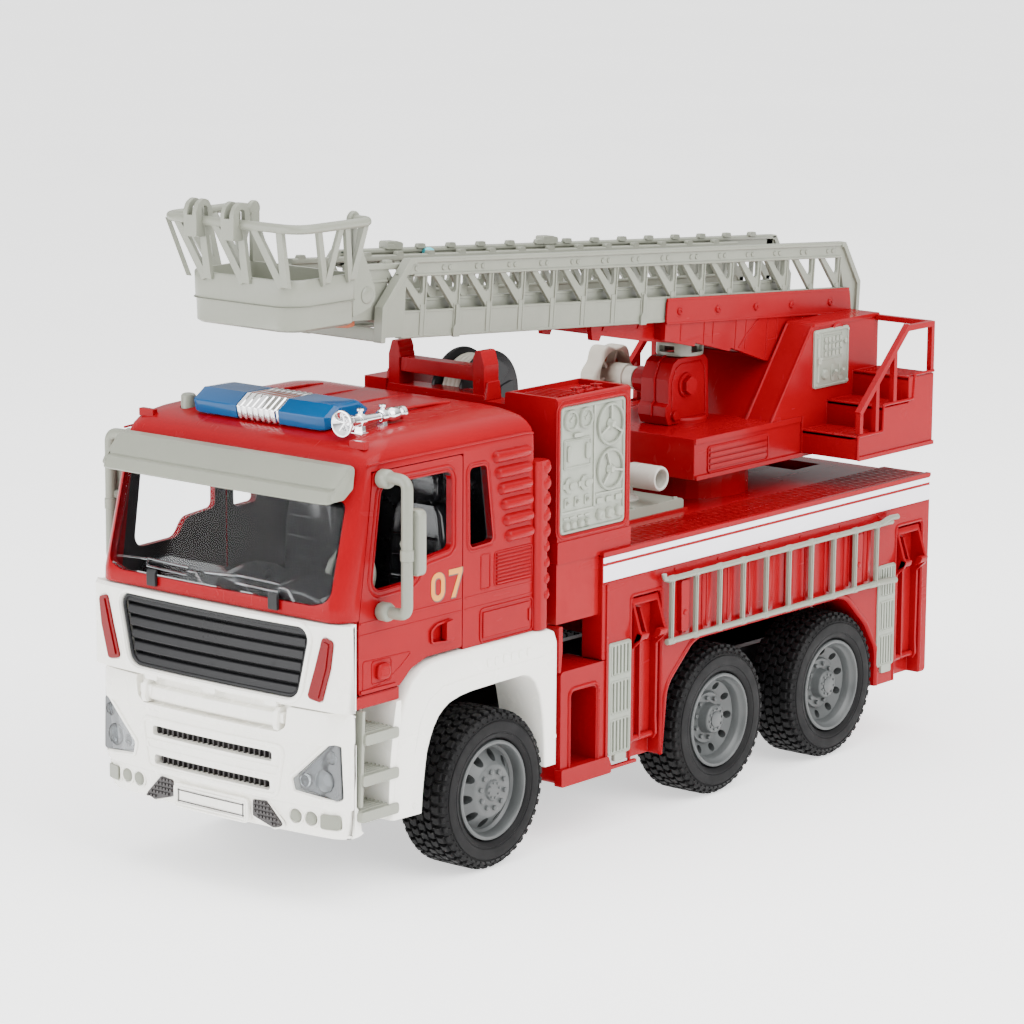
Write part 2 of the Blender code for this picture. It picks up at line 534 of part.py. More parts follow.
rail = union([bar((71.0, 122.5, 152.2), (71.0, 122.5, 163.0), 2.6, 2.6, (0, 1, 0)),
              bar((71.0, 121.6, 161.6), (71.0, 161.0, 199.2), 2.6, 3.0, (1, 0, 0)),
              bar((71.0, 159.4, 198.0), (71.0, 182.4, 198.0), 2.6, 3.0, (1, 0, 0)),
              bar((70.4, 181.4, 198.0), (TT_X + GAP, 181.4, 198.0), 2.6, 3.0, (0, 1, 0)),
              bar((71.0, 135.5, 151.2), (71.0, 135.5, 175.6), 2.6, 2.6, (0, 1, 0)),
              bar((71.0, 150.0, 163.2), (71.0, 150.0, 189.4), 2.6, 2.6, (0, 1, 0)),
              bar((71.0, 181.4, 174.4), (71.0, 181.4, 198.4), 2.6, 2.6, (0, 1, 0))])
rail = cut(rail, [prism("x", [(y + 0.0, z + 0.35) for y, z in
                              [(119, 139.6), (119, 150.6), (141.3, 150.6), (141.3, 162.2), (162.3, 162.2), (162.3, 174.0), (190, 174.0),
                               (190, 139.6)]], 60, 80)])
node("handrail_left", rail.copy(), "red", TT, parent=turn)
node("handrail_right", mirrored(rail), "red", TT, parent=turn)

gear_side = [(57.0, TT_Z1 + GAP), (55.0, 161.5), (55.0, 166), (57.0, 167.5), (57.0, 178.5), (60.5, 186), (64, 188), (84.0, 188),
             (87.2, 185.5), (88.5, TT_Z1 + GAP)]
gearbox = union([prism("x", gear_side, -8.2, 8.2), cyl("x", (70, 175), 4.6, 7, 12.0, 6), cyl("x", (61, 161.5), 2.4, 7, 10.0, 12),
                 cyl("x", (70, 175), 6.2, -19, -7, 16)])
gearbox = cut(gearbox, [cyl("x", (70, 175), 2.6, -30, -4, 12)])
node("gearbox", gearbox, "red", TT, parent=turn)
node("lift_collar", lathe("z", (0, 76), [(10.8, 188.35), (11.0, 195.0), (8.6, 195.0), (8.4, 188.35)], 20), "sage", TT, parent=turn)

WHEEL = (-38.0, 70.0, 175.0)
crank = pivot("pivot_handwheel", WHEEL)
lobes = []
for k in range(24):
    t = 2 * math.pi * (k + 0.5) / 24
    r = 15.9 if (k // 2) % 2 == 0 else 13.4
    lobes.append((WHEEL[1] + r * math.cos(t), WHEEL[2] + r * math.sin(t)))
hand = union([prism("x", lobes, -43, -33), cyl("x", (70, 175), 5.4, -40, -19.4, 16), cyl("x", (70, 175), 2.1, -20, -5, 10)])
hand = cut(hand, [lathe("x", (70, 175), [(5.9, -40.5), (11.8, -40.5), (11.8, -30), (5.9, -30)], 16)])
node("handwheel", hand, "sage", WHEEL, parent=crank)

# ---------------------------------------------------------------- boom: laid out flat about its pivot, then pitched
P = (0.0, BOOM_Y, BOOM_Z)
boom = pivot("pivot_boom", (0.0, BOOM_Y, BOOM_Z - PIN_DROP))
PIN = Matrix.Rotation(BOOM_PITCH, 3, "X") @ Vector((0.0, 0.0, -PIN_DROP))
web = [(-113, -4.5), (-34, -17.0), (-14, -19.0), (-6, -13.0), (6.6, -5.2), (10, 3.0), (-113, 4.2)]
cradle = union(both(prism("x", web, 19.2, 22.2), prism("x", [(-113.5, 3.4), (-113.5, 14.3), (33, 14.9), (35.6, 3.4)], 21.9, 23.0),
                    prism("x", [(-160, 3.4), (-160, 10.4), (-112, 8), (-100, 4.8), (-100, -6.4)], 13.0, 15.6)) +
               [box(-22.5, 22.5, -113.5, 34, 1.0, 4.4), box(-15.6, 15.6, -160, -104, 1.4, 4.2)])
cradle = cut(cradle, [cyl("x", (PIN.y, PIN.z), 3.4, -30, 30, 16)])
node("boom_cradle", cradle, "red", P, BOOM_PITCH, boom)

rail_line = [(-294.2, 37.7), (-311, 17.5), (-311, 4.8), (41.2, 4.8), (41.4, 18.4), (27.1, 37.7)]
plate = prism("x", rail_line, 19.4, OUT_X)
windows = [box(10, 40, -291 + 22.0 * k, -277 + 22.0 * k, 15.5, 31.0) for k in range(15)]
plate = cut(plate, windows)
outer = union([plate, mirrored(plate), box(-20, 20, -308, 40.5, 4.8, 6.8)] + both(box(9, 11, -290, 30, 6.5, 11.5)))
outer = cut(outer, [box(-16.2, 16.2, -163, -96, 0, 12.5)])
node("outer_ladder", outer, "sage", P, BOOM_PITCH, boom)

SLIDE_LIFT = 12.0
BP = Vector((0, BUCKET_Y - BOOM_Y, BUCKET_Z - BOOM_Z))
BP = Matrix.Rotation(BOOM_PITCH, 3, "X") @ BP
lug = circle(BP.y, BP.z, 6.0, 12, 90, 270, ends=True)
side_plate = [(-10, SLIDE_LIFT), (-10, 35.6), (-312, 35.6), (-318, 33.0), (BP.y, BP.z + 6.0)] + lug[1:-1] + [(BP.y, BP.z - 6.0), (-318, 14.6), (-312, SLIDE_LIFT)]
inner = union(both(prism("x", side_plate, 14.3, IN_X)) + [box(-15, 15, -314, -10, SLIDE_LIFT, 14.0)] +
              [cyl("x", (-300 + 40 * k, 30.0), 1.5, -15, 15, 8) for k in range(8)])
inner = cut(inner, [cyl("x", (BP.y, BP.z), 2.2, -30, 30, 14)])
node("inner_ladder", inner, "sage", P, BOOM_PITCH, boom)

# ---------------------------------------------------------------- rescue bucket
B = (0.0, BUCKET_Y, BUCKET_Z)
tilt = pivot("pivot_bucket", B)
tub = cut(prism("z", rounded(-30, 30, -225, -185.4, 8, 4), 233.7, 255.4), [prism("z", rounded(-27.8, 27.8, -222.8, -187.6, 6, 4), 236, 260)])
top = 277.2
hoop = tube([(23.5, -185.6, top), (35.0, -185.6, top), (38, -189, top), (38, -222, top), (33, -229.5, top), (-33, -229.5, top),
             (-38, -222, top), (-38, -189, top), (-35.0, -185.6, top), (-23.5, -185.6, top)], 1.8, 8)
stays = []
for x in (-21, -7, 7, 21):
    stays.append(bar((x, -224.4, 251), (x * 1.12 - 5, -229.4, top), 2.0, 3.0, (1, 0, 0)))
    stays.append(bar((x, -224.4, 251), (x * 1.12 + 3, -229.4, top), 2.0, 3.0, (1, 0, 0)))
for y in (-213, -199):
    for a in both(bar((29.2, y, 251), (37.8, y - 6, top), 2.0, 3.0, (0, 1, 0)), bar((29.2, y, 251), (37.8, y + 5, top), 2.0, 3.0, (0, 1, 0))):
        stays.append(a)
ear = prism("x", [(-187.0, 279), (-184.4, 279), (-182.0, 262), (-172.6, 247), (-172.4, 242.6), (-176, 238.4), (-187.0, 235.0)], 26.2, 28.6)
bucket = union([tub, hoop] + stays + both(ear) + [cyl("x", (BUCKET_Y, BUCKET_Z), 1.8, -27, 27, 12)])
node("bucket", bucket, "sage", B, parent=tilt)
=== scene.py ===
"""Looks of the toy fire engine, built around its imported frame.

Axes: +Z up, the cab faces -Y, +X is the vehicle's left side. Lengths in the builders below are in
layout units (lu); one lu is LU metres, and Y is shifted by YS so that the length is centred.
"""
import bpy
import bmesh
import json
import math
import random
from mathutils import Matrix, Vector

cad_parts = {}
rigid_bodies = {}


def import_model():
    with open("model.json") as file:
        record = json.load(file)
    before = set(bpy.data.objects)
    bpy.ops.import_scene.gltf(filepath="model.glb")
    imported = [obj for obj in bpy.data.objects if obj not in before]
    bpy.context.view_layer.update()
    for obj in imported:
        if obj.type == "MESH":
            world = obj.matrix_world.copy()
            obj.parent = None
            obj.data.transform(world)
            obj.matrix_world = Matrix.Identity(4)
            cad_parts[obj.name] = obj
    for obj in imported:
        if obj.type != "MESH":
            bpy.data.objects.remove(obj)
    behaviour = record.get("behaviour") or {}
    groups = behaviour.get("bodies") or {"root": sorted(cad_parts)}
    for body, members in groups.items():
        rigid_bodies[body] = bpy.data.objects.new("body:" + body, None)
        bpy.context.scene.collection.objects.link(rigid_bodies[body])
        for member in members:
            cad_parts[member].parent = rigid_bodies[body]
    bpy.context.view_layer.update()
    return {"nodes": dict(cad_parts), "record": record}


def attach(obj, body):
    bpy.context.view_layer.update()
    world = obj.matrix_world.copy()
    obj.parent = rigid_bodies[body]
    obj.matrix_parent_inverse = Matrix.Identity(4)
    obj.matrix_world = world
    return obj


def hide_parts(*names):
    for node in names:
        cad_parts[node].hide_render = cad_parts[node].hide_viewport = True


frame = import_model()
NODES = frame["nodes"]
LU, YS = 0.00105, 26.8
random.seed(7)


# ------------------------------------------------------------------ mesh builders
def world(p):
    return Vector((p[0] * LU, (p[1] + YS) * LU, p[2] * LU))


def clean(bm):
    bmesh.ops.remove_doubles(bm, verts=bm.verts, dist=1e-4)
    bmesh.ops.recalc_face_normals(bm, faces=bm.faces)
    return bm


def box(x0, x1, y0, y1, z0, z1):
    bm = bmesh.new()
    bmesh.ops.create_cube(bm, size=1.0)
    for v in bm.verts:
        v.co = Vector((x0 + (v.co.x + 0.5) * (x1 - x0), y0 + (v.co.y + 0.5) * (y1 - y0),
                       z0 + (v.co.z + 0.5) * (z1 - z0)))
    return clean(bm)


PUT = {"x": lambda p, a: (a, p[0], p[1]), "y": lambda p, a: (p[0], a, p[1]), "z": lambda p, a: (p[0], p[1], a)}


def prism(axis, pts, a0, a1):
    put_ = PUT[axis]
    bm = bmesh.new()
    lo = [bm.verts.new(put_(p, a0)) for p in pts]
    hi = [bm.verts.new(put_(p, a1)) for p in pts]
    bm.faces.new(lo)
    bm.faces.new(hi)
    n = len(pts)
    for i in range(n):
        bm.faces.new((lo[i], lo[(i + 1) % n], hi[(i + 1) % n], hi[i]))
    return clean(bm)


def lathe(axis, c, profile, n=32, closed=False, turn=0.0):
    bm = bmesh.new()
    rings = []
    for r, a in profile:
        ring = []
        for k in range(1 if r == 0 else n):
            t = 2 * math.pi * (k + 0.5) / n + turn
            u, v = r * math.cos(t), r * math.sin(t)
            ring.append(bm.verts.new({"x": (a, c[0] + u, c[1] + v), "y": (c[0] + u, a, c[1] + v),
                                      "z": (c[0] + u, c[1] + v, a)}[axis]))
        rings.append(ring)
    pairs = list(zip(rings, rings[1:] + rings[:1])) if closed else list(zip(rings, rings[1:]))
    for p, q in pairs:
        for k in range(n):
            j = (k + 1) % n
            if len(p) == 1 and len(q) == 1:
                continue
            if len(p) == 1:
                bm.faces.new((p[0], q[k], q[j]))
            elif len(q) == 1:
                bm.faces.new((p[k], p[j], q[0]))
            else:
                bm.faces.new((p[k], p[j], q[j], q[k]))
    return clean(bm)


def cyl(axis, c, r, a0, a1, n=24, r1=None):
    return lathe(axis, c, [(0, a0), (r, a0), (r if r1 is None else r1, a1), (0, a1)], n)


def knob(axis, c, r, a0, a1, n=20, crown=0.3):
    """A short round boss with a rounded top edge."""
    h = a1 - a0
    e = crown * r
    return lathe(axis, c, [(0, a0), (r, a0), (r, a1 - (e if h > 0 else -e) * 0.7),
                           (r - e * 0.35, a1 - (e if h > 0 else -e) * 0.2), (r - e, a1), (0, a1)], n)


def circle(cy, cz, r, n=24, a0=0.0, a1=360.0, ends=False):
    m = n + 1 if ends else n
    return [(cy + r * math.cos(math.radians(a0 + (a1 - a0) * k / n)),
             cz + r * math.sin(math.radians(a0 + (a1 - a0) * k / n))) for k in range(m)]


def fillet(pts, r, n=5):
    """Closed outline with each corner rounded; r is one radius or one per corner."""
    rs = r if isinstance(r, (list, tuple)) else [r] * len(pts)
    out = []
    m = len(pts)
    for i, rad in enumerate(rs):
        p = Vector(pts[i]).to_2d()
        a = (Vector(pts[i - 1]).to_2d() - p)
        b = (Vector(pts[(i + 1) % m]).to_2d() - p)
        la, lb = a.length, b.length
        a, b = a / la, b / lb
        cosang = max(-1, min(1, a.dot(b)))
        half = math.acos(cosang) / 2
        if rad <= 0 or half > math.pi / 2 - 0.02:
            out.append((p.x, p.y))
            continue
        t = min(rad / math.tan(half), la * 0.48, lb * 0.48)
        rr = t * math.tan(half)
        c = p + (a + b).normalized() * (rr / math.sin(half))
        s, e = p + a * t, p + b * t
        a0 = math.atan2(s.y - c.y, s.x - c.x)
        a1 = math.atan2(e.y - c.y, e.x - c.x)
        d = (a1 - a0 + math.pi) % (2 * math.pi) - math.pi
        for k in range(n + 1):
            q = a0 + d * k / n
            out.append((c.x + rr * math.cos(q), c.y + rr * math.sin(q)))
    return out


def rect(x0, x1, y0, y1, r=0.0, n=4):
    pts = [(x0, y0), (x1, y0), (x1, y1), (x0, y1)]
    return fillet(pts, r, n) if r else pts


def offset(pts, d):
    """Closed outline moved outwards by d (inwards when negative)."""
    m = len(pts)
    area = sum(pts[i][0] * pts[(i + 1) % m][1] - pts[(i + 1) % m][0] * pts[i][1] for i in range(m))
    s = 1 if area > 0 else -1
    out = []
    for i in range(m):
        p0, p, p1 = Vector(pts[i - 1]), Vector(pts[i]), Vector(pts[(i + 1) % m])
        a, b = (p - p0), (p1 - p)
        if a.length < 1e-6 or b.length < 1e-6:
            out.append((p.x, p.y))
            continue
        a.normalize()
        b.normalize()
        na, nb = Vector((a.y, -a.x)) * s, Vector((b.y, -b.x)) * s
        k = na + nb
        k = k / max(0.3, k.dot(na)) if k.length > 1e-6 else na
        q = p + k * d
        out.append((q.x, q.y))
    return out


def ring_prism(axis, pts, d, a0, a1):
    """A frame of width d just outside the outline, from a0 to a1."""
    put_ = PUT[axis]
    out = offset(pts, d)
    bm = bmesh.new()
    n = len(pts)
    rows = [[bm.verts.new(put_(p, a)) for p in o] for o, a in ((pts, a0), (pts, a1), (out, a1), (out, a0))]
    for r in range(4):
        A, B = rows[r], rows[(r + 1) % 4]
        for i in range(n):
            bm.faces.new((A[i], A[(i + 1) % n], B[(i + 1) % n], B[i]))
    return clean(bm)


def loop_bead(axis, pts, r, a, n=8, flat=1.0):
    """A round bead of radius r that follows the closed outline at height a."""
    put_ = PUT[axis]
    m = len(pts)
    offs = []
    for k in range(n):
        t = 2 * math.pi * k / n
        offs.append((r * math.cos(t), r * math.sin(t) * flat))
    bm = bmesh.new()
    rings = []
    grown = {}
    for u, _ in offs:
        grown[u] = offset(pts, u)
    for i in range(m):
        rings.append([bm.verts.new(put_(grown[u][i], a + v)) for u, v in offs])
    for i in range(m):
        A, B = rings[i], rings[(i + 1) % m]
        for k in range(n):
            bm.faces.new((A[k], A[(k + 1) % n], B[(k + 1) % n], B[k]))
    return clean(bm)


def tube(path, r, n=12, r1=None, caps=True):
    pts = [Vector(p) for p in path]
    bm = bmesh.new()
    rings = []
    up = None
    m = len(pts)
    for i, p in enumerate(pts):
        d0 = (p - pts[i - 1]).normalized() if i else None
        d1 = (pts[i + 1] - p).normalized() if i + 1 < m else None
        t = (d0 + d1).normalized() if d0 and d1 else (d0 or d1)
        run = d1 or d0
        if up is None:
            ref = Vector((0, 0, 1)) if abs(run.z) < 0.9 else Vector((1, 0, 0))
            up = run.cross(ref).normalized()
        else:
            up = (up - t * up.dot(t)).normalized()
        side = t.cross(up).normalized()
        rad = r if r1 is None else r + (r1 - r) * i / (m - 1)
        rings.append([bm.verts.new(p + (up * math.cos(2 * math.pi * j / n) + side * math.sin(2 * math.pi * j / n)) * rad)
                      for j in range(n)])
    for a, b in zip(rings, rings[1:]):
        for j in range(n):
            bm.faces.new((a[j], a[(j + 1) % n], b[(j + 1) % n], b[j]))
    if caps:
        bm.faces.new(rings[0])
        bm.faces.new(rings[-1])
    return clean(bm)


def round_path(pts, r, n=5):
    """Open polyline in 3-D with its inner corners rounded."""
    P = [Vector(p) for p in pts]
    out = [P[0]]
    for i in range(1, len(P) - 1):
        a, b = P[i - 1] - P[i], P[i + 1] - P[i]
        t = min(r, a.length * 0.49, b.length * 0.49)
        s, e = P[i] + a.normalized() * t, P[i] + b.normalized() * t
        for k in range(n + 1):
            u = k / n
            out.append(s * (1 - u) ** 2 + P[i] * 2 * u * (1 - u) + e * u * u)
    out.append(P[-1])
    return out


def bar(p, q, w, t, roll=(0, 0, 1)):
    p, q = Vector(p), Vector(q)
    d = (q - p).normalized()
    s = d.cross(Vector(roll)).normalized()
    u = s.cross(d).normalized()
    bm = bmesh.new()
    vs = [bm.verts.new(e + s * (w / 2) * a + u * (t / 2) * b)
          for e in (p, q) for a, b in ((-1, -1), (1, -1), (1, 1), (-1, 1))]
    for f in ((0, 1, 2, 3), (4, 5, 6, 7), (0, 1, 5, 4), (1, 2, 6, 5), (2, 3, 7, 6), (3, 0, 4, 7)):
        bm.faces.new([vs[i] for i in f])
    return clean(bm)


def loft(rings, cap=True):
    bm = bmesh.new()
    R = [[bm.verts.new(p) for p in r] for r in rings]
    n = len(R[0])
    for a, b in zip(R, R[1:]):
        for i in range(n):
            bm.faces.new((a[i], a[(i + 1) % n], b[(i + 1) % n], b[i]))
    if cap:
        bm.faces.new(R[0])
        bm.faces.new(R[-1])
    return clean(bm)


def moved(bm, m):
    c = bm.copy()
    for v in c.verts:
        v.co = m @ v.co
    if m.determinant() < 0:
        bmesh.ops.reverse_faces(c, faces=c.faces)
    return c


def shift(bm, x=0, y=0, z=0):
    return moved(bm, Matrix.Translation((x, y, z)))


def mirrored(bm):
    return moved(bm, Matrix.Scale(-1, 4, (1, 0, 0)))


def both(*bms):
    out = []
    for b in bms:
        out += [b, mirrored(b)]
    return out


def merged(bms):
    out = bmesh.new()
    for b in bms:
        me = bpy.data.meshes.new("tmp")
        b.to_mesh(me)
        out.from_mesh(me)
        bpy.data.meshes.remove(me)
    return out


def boolean(a, others, op):
    if not others:
        return a
    oa, ob = [], []
    for holder, bm in ((oa, a), (ob, merged(others))):
        me = bpy.data.meshes.new("operand")
        bm.to_mesh(me)
        o = bpy.data.objects.new("operand", me)
        bpy.context.scene.collection.objects.link(o)
        holder.append(o)
    m = oa[0].modifiers.new("combine", "BOOLEAN")
    m.solver = "EXACT"
    m.use_self = len(others) > 1
    m.operation = op
    m.object = ob[0]
    dg = bpy.context.evaluated_depsgraph_get()
    dg.update()
    me = bpy.data.meshes.new_from_object(oa[0].evaluated_get(dg))
    out = bmesh.new()
    out.from_mesh(me)
    bpy.data.meshes.remove(me)
    for o in oa + ob:
        d = o.data
        bpy.data.objects.remove(o, do_unlink=True)
        bpy.data.meshes.remove(d)
    bmesh.ops.remove_doubles(out, verts=out.verts, dist=1e-3)
    bmesh.ops.dissolve_degenerate(out, edges=out.edges, dist=1e-3)
    return out


def union(bms):
    return boolean(bms[0], bms[1:], "UNION")


def cut(a, cuts):
    return boolean(a, cuts, "DIFFERENCE")


def common(a, b):
    return boolean(a, [b], "INTERSECT")


def put(name, bms, mat, body, bevel=0.3, seg=2, limit=32, M=None, rep=(), slot=None, sharp=36, tidy=False):
    """Makes the named piece from solids in layout units and lets it ride on a CAD body."""
    bm = merged(bms) if isinstance(bms, (list, tuple)) else bms.copy()
    if tidy:
        bmesh.ops.dissolve_limit(bm, angle_limit=math.radians(0.6), verts=bm.verts, edges=bm.edges)
    for v in bm.verts:
        v.co = world(M @ v.co) if M is not None else world(v.co)
    me = bpy.data.meshes.new(name)
    bm.to_mesh(me)
    bm.free()
    me.shade_smooth()
    o = bpy.data.objects.new(name, me)
    bpy.context.scene.collection.objects.link(o)
    if bevel:
        b = o.modifiers.new("moulded_edge", "BEVEL")
        b.width = bevel * LU
        b.segments = seg
        b.limit_method = "ANGLE"
        b.angle_limit = math.radians(limit)
        b.harden_normals = True
        b.use_clamp_overlap = True
    else:
        me.set_sharp_from_angle(angle=math.radians(sharp))
    me.materials.append(mat)
    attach(o, body)
    if rep:
        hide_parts(*rep)
    return o


def twin(name, make, mat, body, **k):
    """The same piece on both sides; make returns the left one. body may be a pair."""
    bodies = body if isinstance(body, tuple) else (body, body)
    rep = k.pop("rep", ())
    for side, s, b in (("left", 1, bodies[0]), ("right", -1, bodies[1])):
        bms = make()
        bms = bms if isinstance(bms, (list, tuple)) else [bms]
        put("%s_%s" % (name, side), bms if s > 0 else [mirrored(x) for x in bms], mat, b,
            rep=[r % side for r in rep], **k)


# ------------------------------------------------------------------ materials
class Nodes:
    """Small helper to write a node material."""

    def __init__(self, name):
        self.m = bpy.data.materials.new(name)
        self.m.use_nodes = True
        self.t = self.m.node_tree
        self.bsdf = self.t.nodes["Principled BSDF"]
        self.tc = self.t.nodes.new("ShaderNodeTexCoord").outputs["Object"]

    def new(self, kind, **props):
        n = self.t.nodes.new(kind)
        for k, v in props.items():
            setattr(n, k, v)
        return n

    def link(self, a, b):
        self.t.links.new(a, b)

    def noise(self, scale, detail=3.0, rough=0.55, stretch=None, distortion=0.0):
        n = self.new("ShaderNodeTexNoise")
        n.inputs["Scale"].default_value = scale
        n.inputs["Detail"].default_value = detail
        n.inputs["Roughness"].default_value = rough
        n.inputs["Distortion"].default_value = distortion
        if stretch:
            mp = self.new("ShaderNodeMapping")
            mp.inputs["Scale"].default_value = stretch
            self.link(self.tc, mp.inputs["Vector"])
            self.link(mp.outputs[0], n.inputs["Vector"])
        else:
            self.link(self.tc, n.inputs["Vector"])
        return n.outputs["Fac"]

    def remap(self, src, a, b, lo, hi):
        n = self.new("ShaderNodeMapRange")
        n.inputs["From Min"].default_value = a
        n.inputs["From Max"].default_value = b
        n.inputs["To Min"].default_value = lo
        n.inputs["To Max"].default_value = hi
        self.link(src, n.inputs["Value"])
        return n.outputs["Result"]

    def math(self, op, a, b=None):
        n = self.new("ShaderNodeMath", operation=op)
        for i, v in enumerate((a, b)):
            if v is None:
                continue
            if isinstance(v, (int, float)):
                n.inputs[i].default_value = v
            else:
                self.link(v, n.inputs[i])
        return n.outputs[0]

    def mix(self, fac, a, b):
        n = self.new("ShaderNodeMix", data_type="RGBA")
        self.link(fac, n.inputs["Factor"])
        for v, s in ((a, n.inputs[6]), (b, n.inputs[7])):
            if isinstance(v, tuple):
                s.default_value = (*v, 1.0)
            else:
                self.link(v, s)
        return n.outputs[2]

    def bump(self, height, strength, distance, normal=None):
        n = self.new("ShaderNodeBump")
        n.inputs["Strength"].default_value = strength
        n.inputs["Distance"].default_value = distance
        self.link(height, n.inputs["Height"])
        if normal is not None:
            self.link(normal, n.inputs["Normal"])
        return n.outputs["Normal"]


def shade(rgb, k):
    return tuple(min(1.0, c * k) for c in rgb)


def plastic(name, rgb, rough=0.25, var=0.07, grain=900.0, bump=0.06, coat=0.0, edge_highlight=0.25, edge_highlight_rgb=None, sss=0.0,
            spec=0.5, swirl=28.0, metal=0.0, extra=None):
    """Moulded plastic: slow colour drift, fine grain, roughness drift, hairline handling scratches, and convex edges
    lightened as a painted highlight.
    """
    k = Nodes(name)
    slow = k.noise(swirl, 4.0, 0.55)
    fine = k.noise(grain, 2.0, 0.5)
    hair = k.noise(260.0, 2.0, 0.6, stretch=(1.0, 0.06, 0.5), distortion=0.4)
    col = k.mix(k.remap(slow, 0.3, 0.7, 0.0, 1.0), shade(rgb, 1 - var), shade(rgb, 1 + var))
    col = k.mix(k.remap(fine, 0.35, 0.75, 0.0, 0.35), col, shade(rgb, 1 + var * 1.6))
    geo = k.new("ShaderNodeNewGeometry")
    # painted highlight: convex edges (high pointiness) are mixed towards a lighter colour, broken up by noise, standing
    # in for light caught on the edges
    edge = k.remap(geo.outputs["Pointiness"], 0.53, 0.62, 0.0, edge_highlight)
    edge = k.math("MULTIPLY", edge, k.remap(k.noise(120.0, 3.0, 0.6), 0.35, 0.6, 0.2, 1.0))
    col = k.mix(edge, col, edge_highlight_rgb or shade(rgb, 1.35))
    k.link(col, k.bsdf.inputs["Base Color"])
    r = k.remap(slow, 0.25, 0.75, rough * 0.8, rough * 1.25)
    r = k.math("ADD", r, k.remap(hair, 0.62, 0.75, 0.0, rough * 0.5 + 0.03))
    k.link(r, k.bsdf.inputs["Roughness"])
    k.bsdf.inputs["Metallic"].default_value = metal
    k.bsdf.inputs["Specular IOR Level"].default_value = spec
    if coat:
        k.bsdf.inputs["Coat Weight"].default_value = coat
        k.bsdf.inputs["Coat Roughness"].default_value = 0.06
    if sss:
        k.bsdf.inputs["Subsurface Weight"].default_value = sss
        k.bsdf.inputs["Subsurface Radius"].default_value = (0.6, 0.5, 0.4)
        k.bsdf.inputs["Subsurface Scale"].default_value = 0.0015
    n = k.bump(fine, bump, 0.00006)
    n = k.bump(slow, 0.12, 0.00025, n)
    if extra:
        n = extra(k, n)
    k.link(n, k.bsdf.inputs["Normal"])
    return k.m


def clearish(name, rgb, rough=0.03, alpha_ior=1.46, trans=1.0, tint_var=0.1, spec=0.5):
    k = Nodes(name)
    slow = k.noise(20.0, 3.0)
    smear = k.noise(70.0, 4.0, 0.6, stretch=(1.0, 1.0, 0.25), distortion=1.2)
    k.link(k.mix(k.remap(slow, 0.3, 0.7, 0.0, 1.0), shade(rgb, 1 - tint_var), rgb), k.bsdf.inputs["Base Color"])
    k.link(k.remap(smear, 0.45, 0.8, rough, rough + 0.10), k.bsdf.inputs["Roughness"])
    k.bsdf.inputs["Transmission Weight"].default_value = trans
    k.bsdf.inputs["IOR"].default_value = alpha_ior
    k.bsdf.inputs["Specular IOR Level"].default_value = spec
    k.link(k.bump(slow, 0.05, 0.0002), k.bsdf.inputs["Normal"])
    return k.m


def metalish(name, rgb, rough=0.08, var=0.08, stretch=None):
    k = Nodes(name)
    slow = k.noise(60.0, 3.0)
    fine = k.noise(1200.0, 2.0, 0.5, stretch=stretch)
    k.link(k.mix(k.remap(slow, 0.3, 0.7, 0.0, 1.0), shade(rgb, 1 - var), shade(rgb, 1 + var)), k.bsdf.inputs["Base Color"])
    k.link(k.remap(fine, 0.3, 0.7, rough * 0.7, rough * 1.6), k.bsdf.inputs["Roughness"])
    k.bsdf.inputs["Metallic"].default_value = 1.0
    k.link(k.bump(fine, 0.08, 0.00004), k.bsdf.inputs["Normal"])
    return k.m


def rubber(name):
    k = Nodes(name)
    slow = k.noise(45.0, 4.0)
    fine = k.noise(1500.0, 3.0, 0.6)
    dust = k.noise(140.0, 5.0, 0.65)
    col = k.mix(k.remap(slow, 0.3, 0.7, 0.0, 1.0), (0.0045, 0.0045, 0.005), (0.008, 0.0078, 0.008))
    col = k.mix(k.remap(dust, 0.6, 0.9, 0.0, 0.25), col, (0.016, 0.0155, 0.015))
    k.link(col, k.bsdf.inputs["Base Color"])
    k.link(k.remap(dust, 0.3, 0.8, 0.42, 0.68), k.bsdf.inputs["Roughness"])
    k.bsdf.inputs["Specular IOR Level"].default_value = 0.12
    k.link(k.bump(fine, 0.16, 0.00008), k.bsdf.inputs["Normal"])
    return k.m


RED = plastic("red_gloss", (0.235, 0.0010, 0.0050), rough=0.22, var=0.06, edge_highlight=0.30, edge_highlight_rgb=(0.30, 0.012, 0.014), bump=0.04, coat=0.02, spec=0.10)
RED_TRANS = plastic("red_lens", (0.150, 0.0008, 0.0028), rough=0.10, var=0.05, coat=0.10, spec=0.2)
WHITE = plastic("white_moulding", (0.90, 0.885, 0.82), rough=0.26, var=0.025, edge_highlight=0.2, edge_highlight_rgb=(0.95, 0.94, 0.90), sss=0.05)
SAGE = plastic("sage_moulding", (0.196, 0.204, 0.163), rough=0.34, var=0.045, edge_highlight=0.3, edge_highlight_rgb=(0.30, 0.31, 0.26), bump=0.10)
PANEL = plastic("panel_moulding", (0.245, 0.262, 0.215), rough=0.36, var=0.04, edge_highlight=0.55, edge_highlight_rgb=(0.46, 0.46, 0.40), bump=0.10)
RIM = plastic("rim_moulding", (0.052, 0.056, 0.056), rough=0.40, var=0.06, edge_highlight=0.3, edge_highlight_rgb=(0.13, 0.14, 0.14), bump=0.12)
BLACK = plastic("black_moulding", (0.009, 0.009, 0.010), rough=0.30, var=0.15, edge_highlight=0.2, edge_highlight_rgb=(0.03, 0.03, 0.03), spec=0.22)
SEAT = plastic("seat_moulding", (0.010, 0.010, 0.012), rough=0.16, var=0.15, edge_highlight=0.2, edge_highlight_rgb=(0.05, 0.05, 0.05), coat=0.12, spec=0.4)
STEPGREY = plastic("step_moulding", (0.225, 0.233, 0.190), rough=0.32, var=0.03, edge_highlight=0.2)
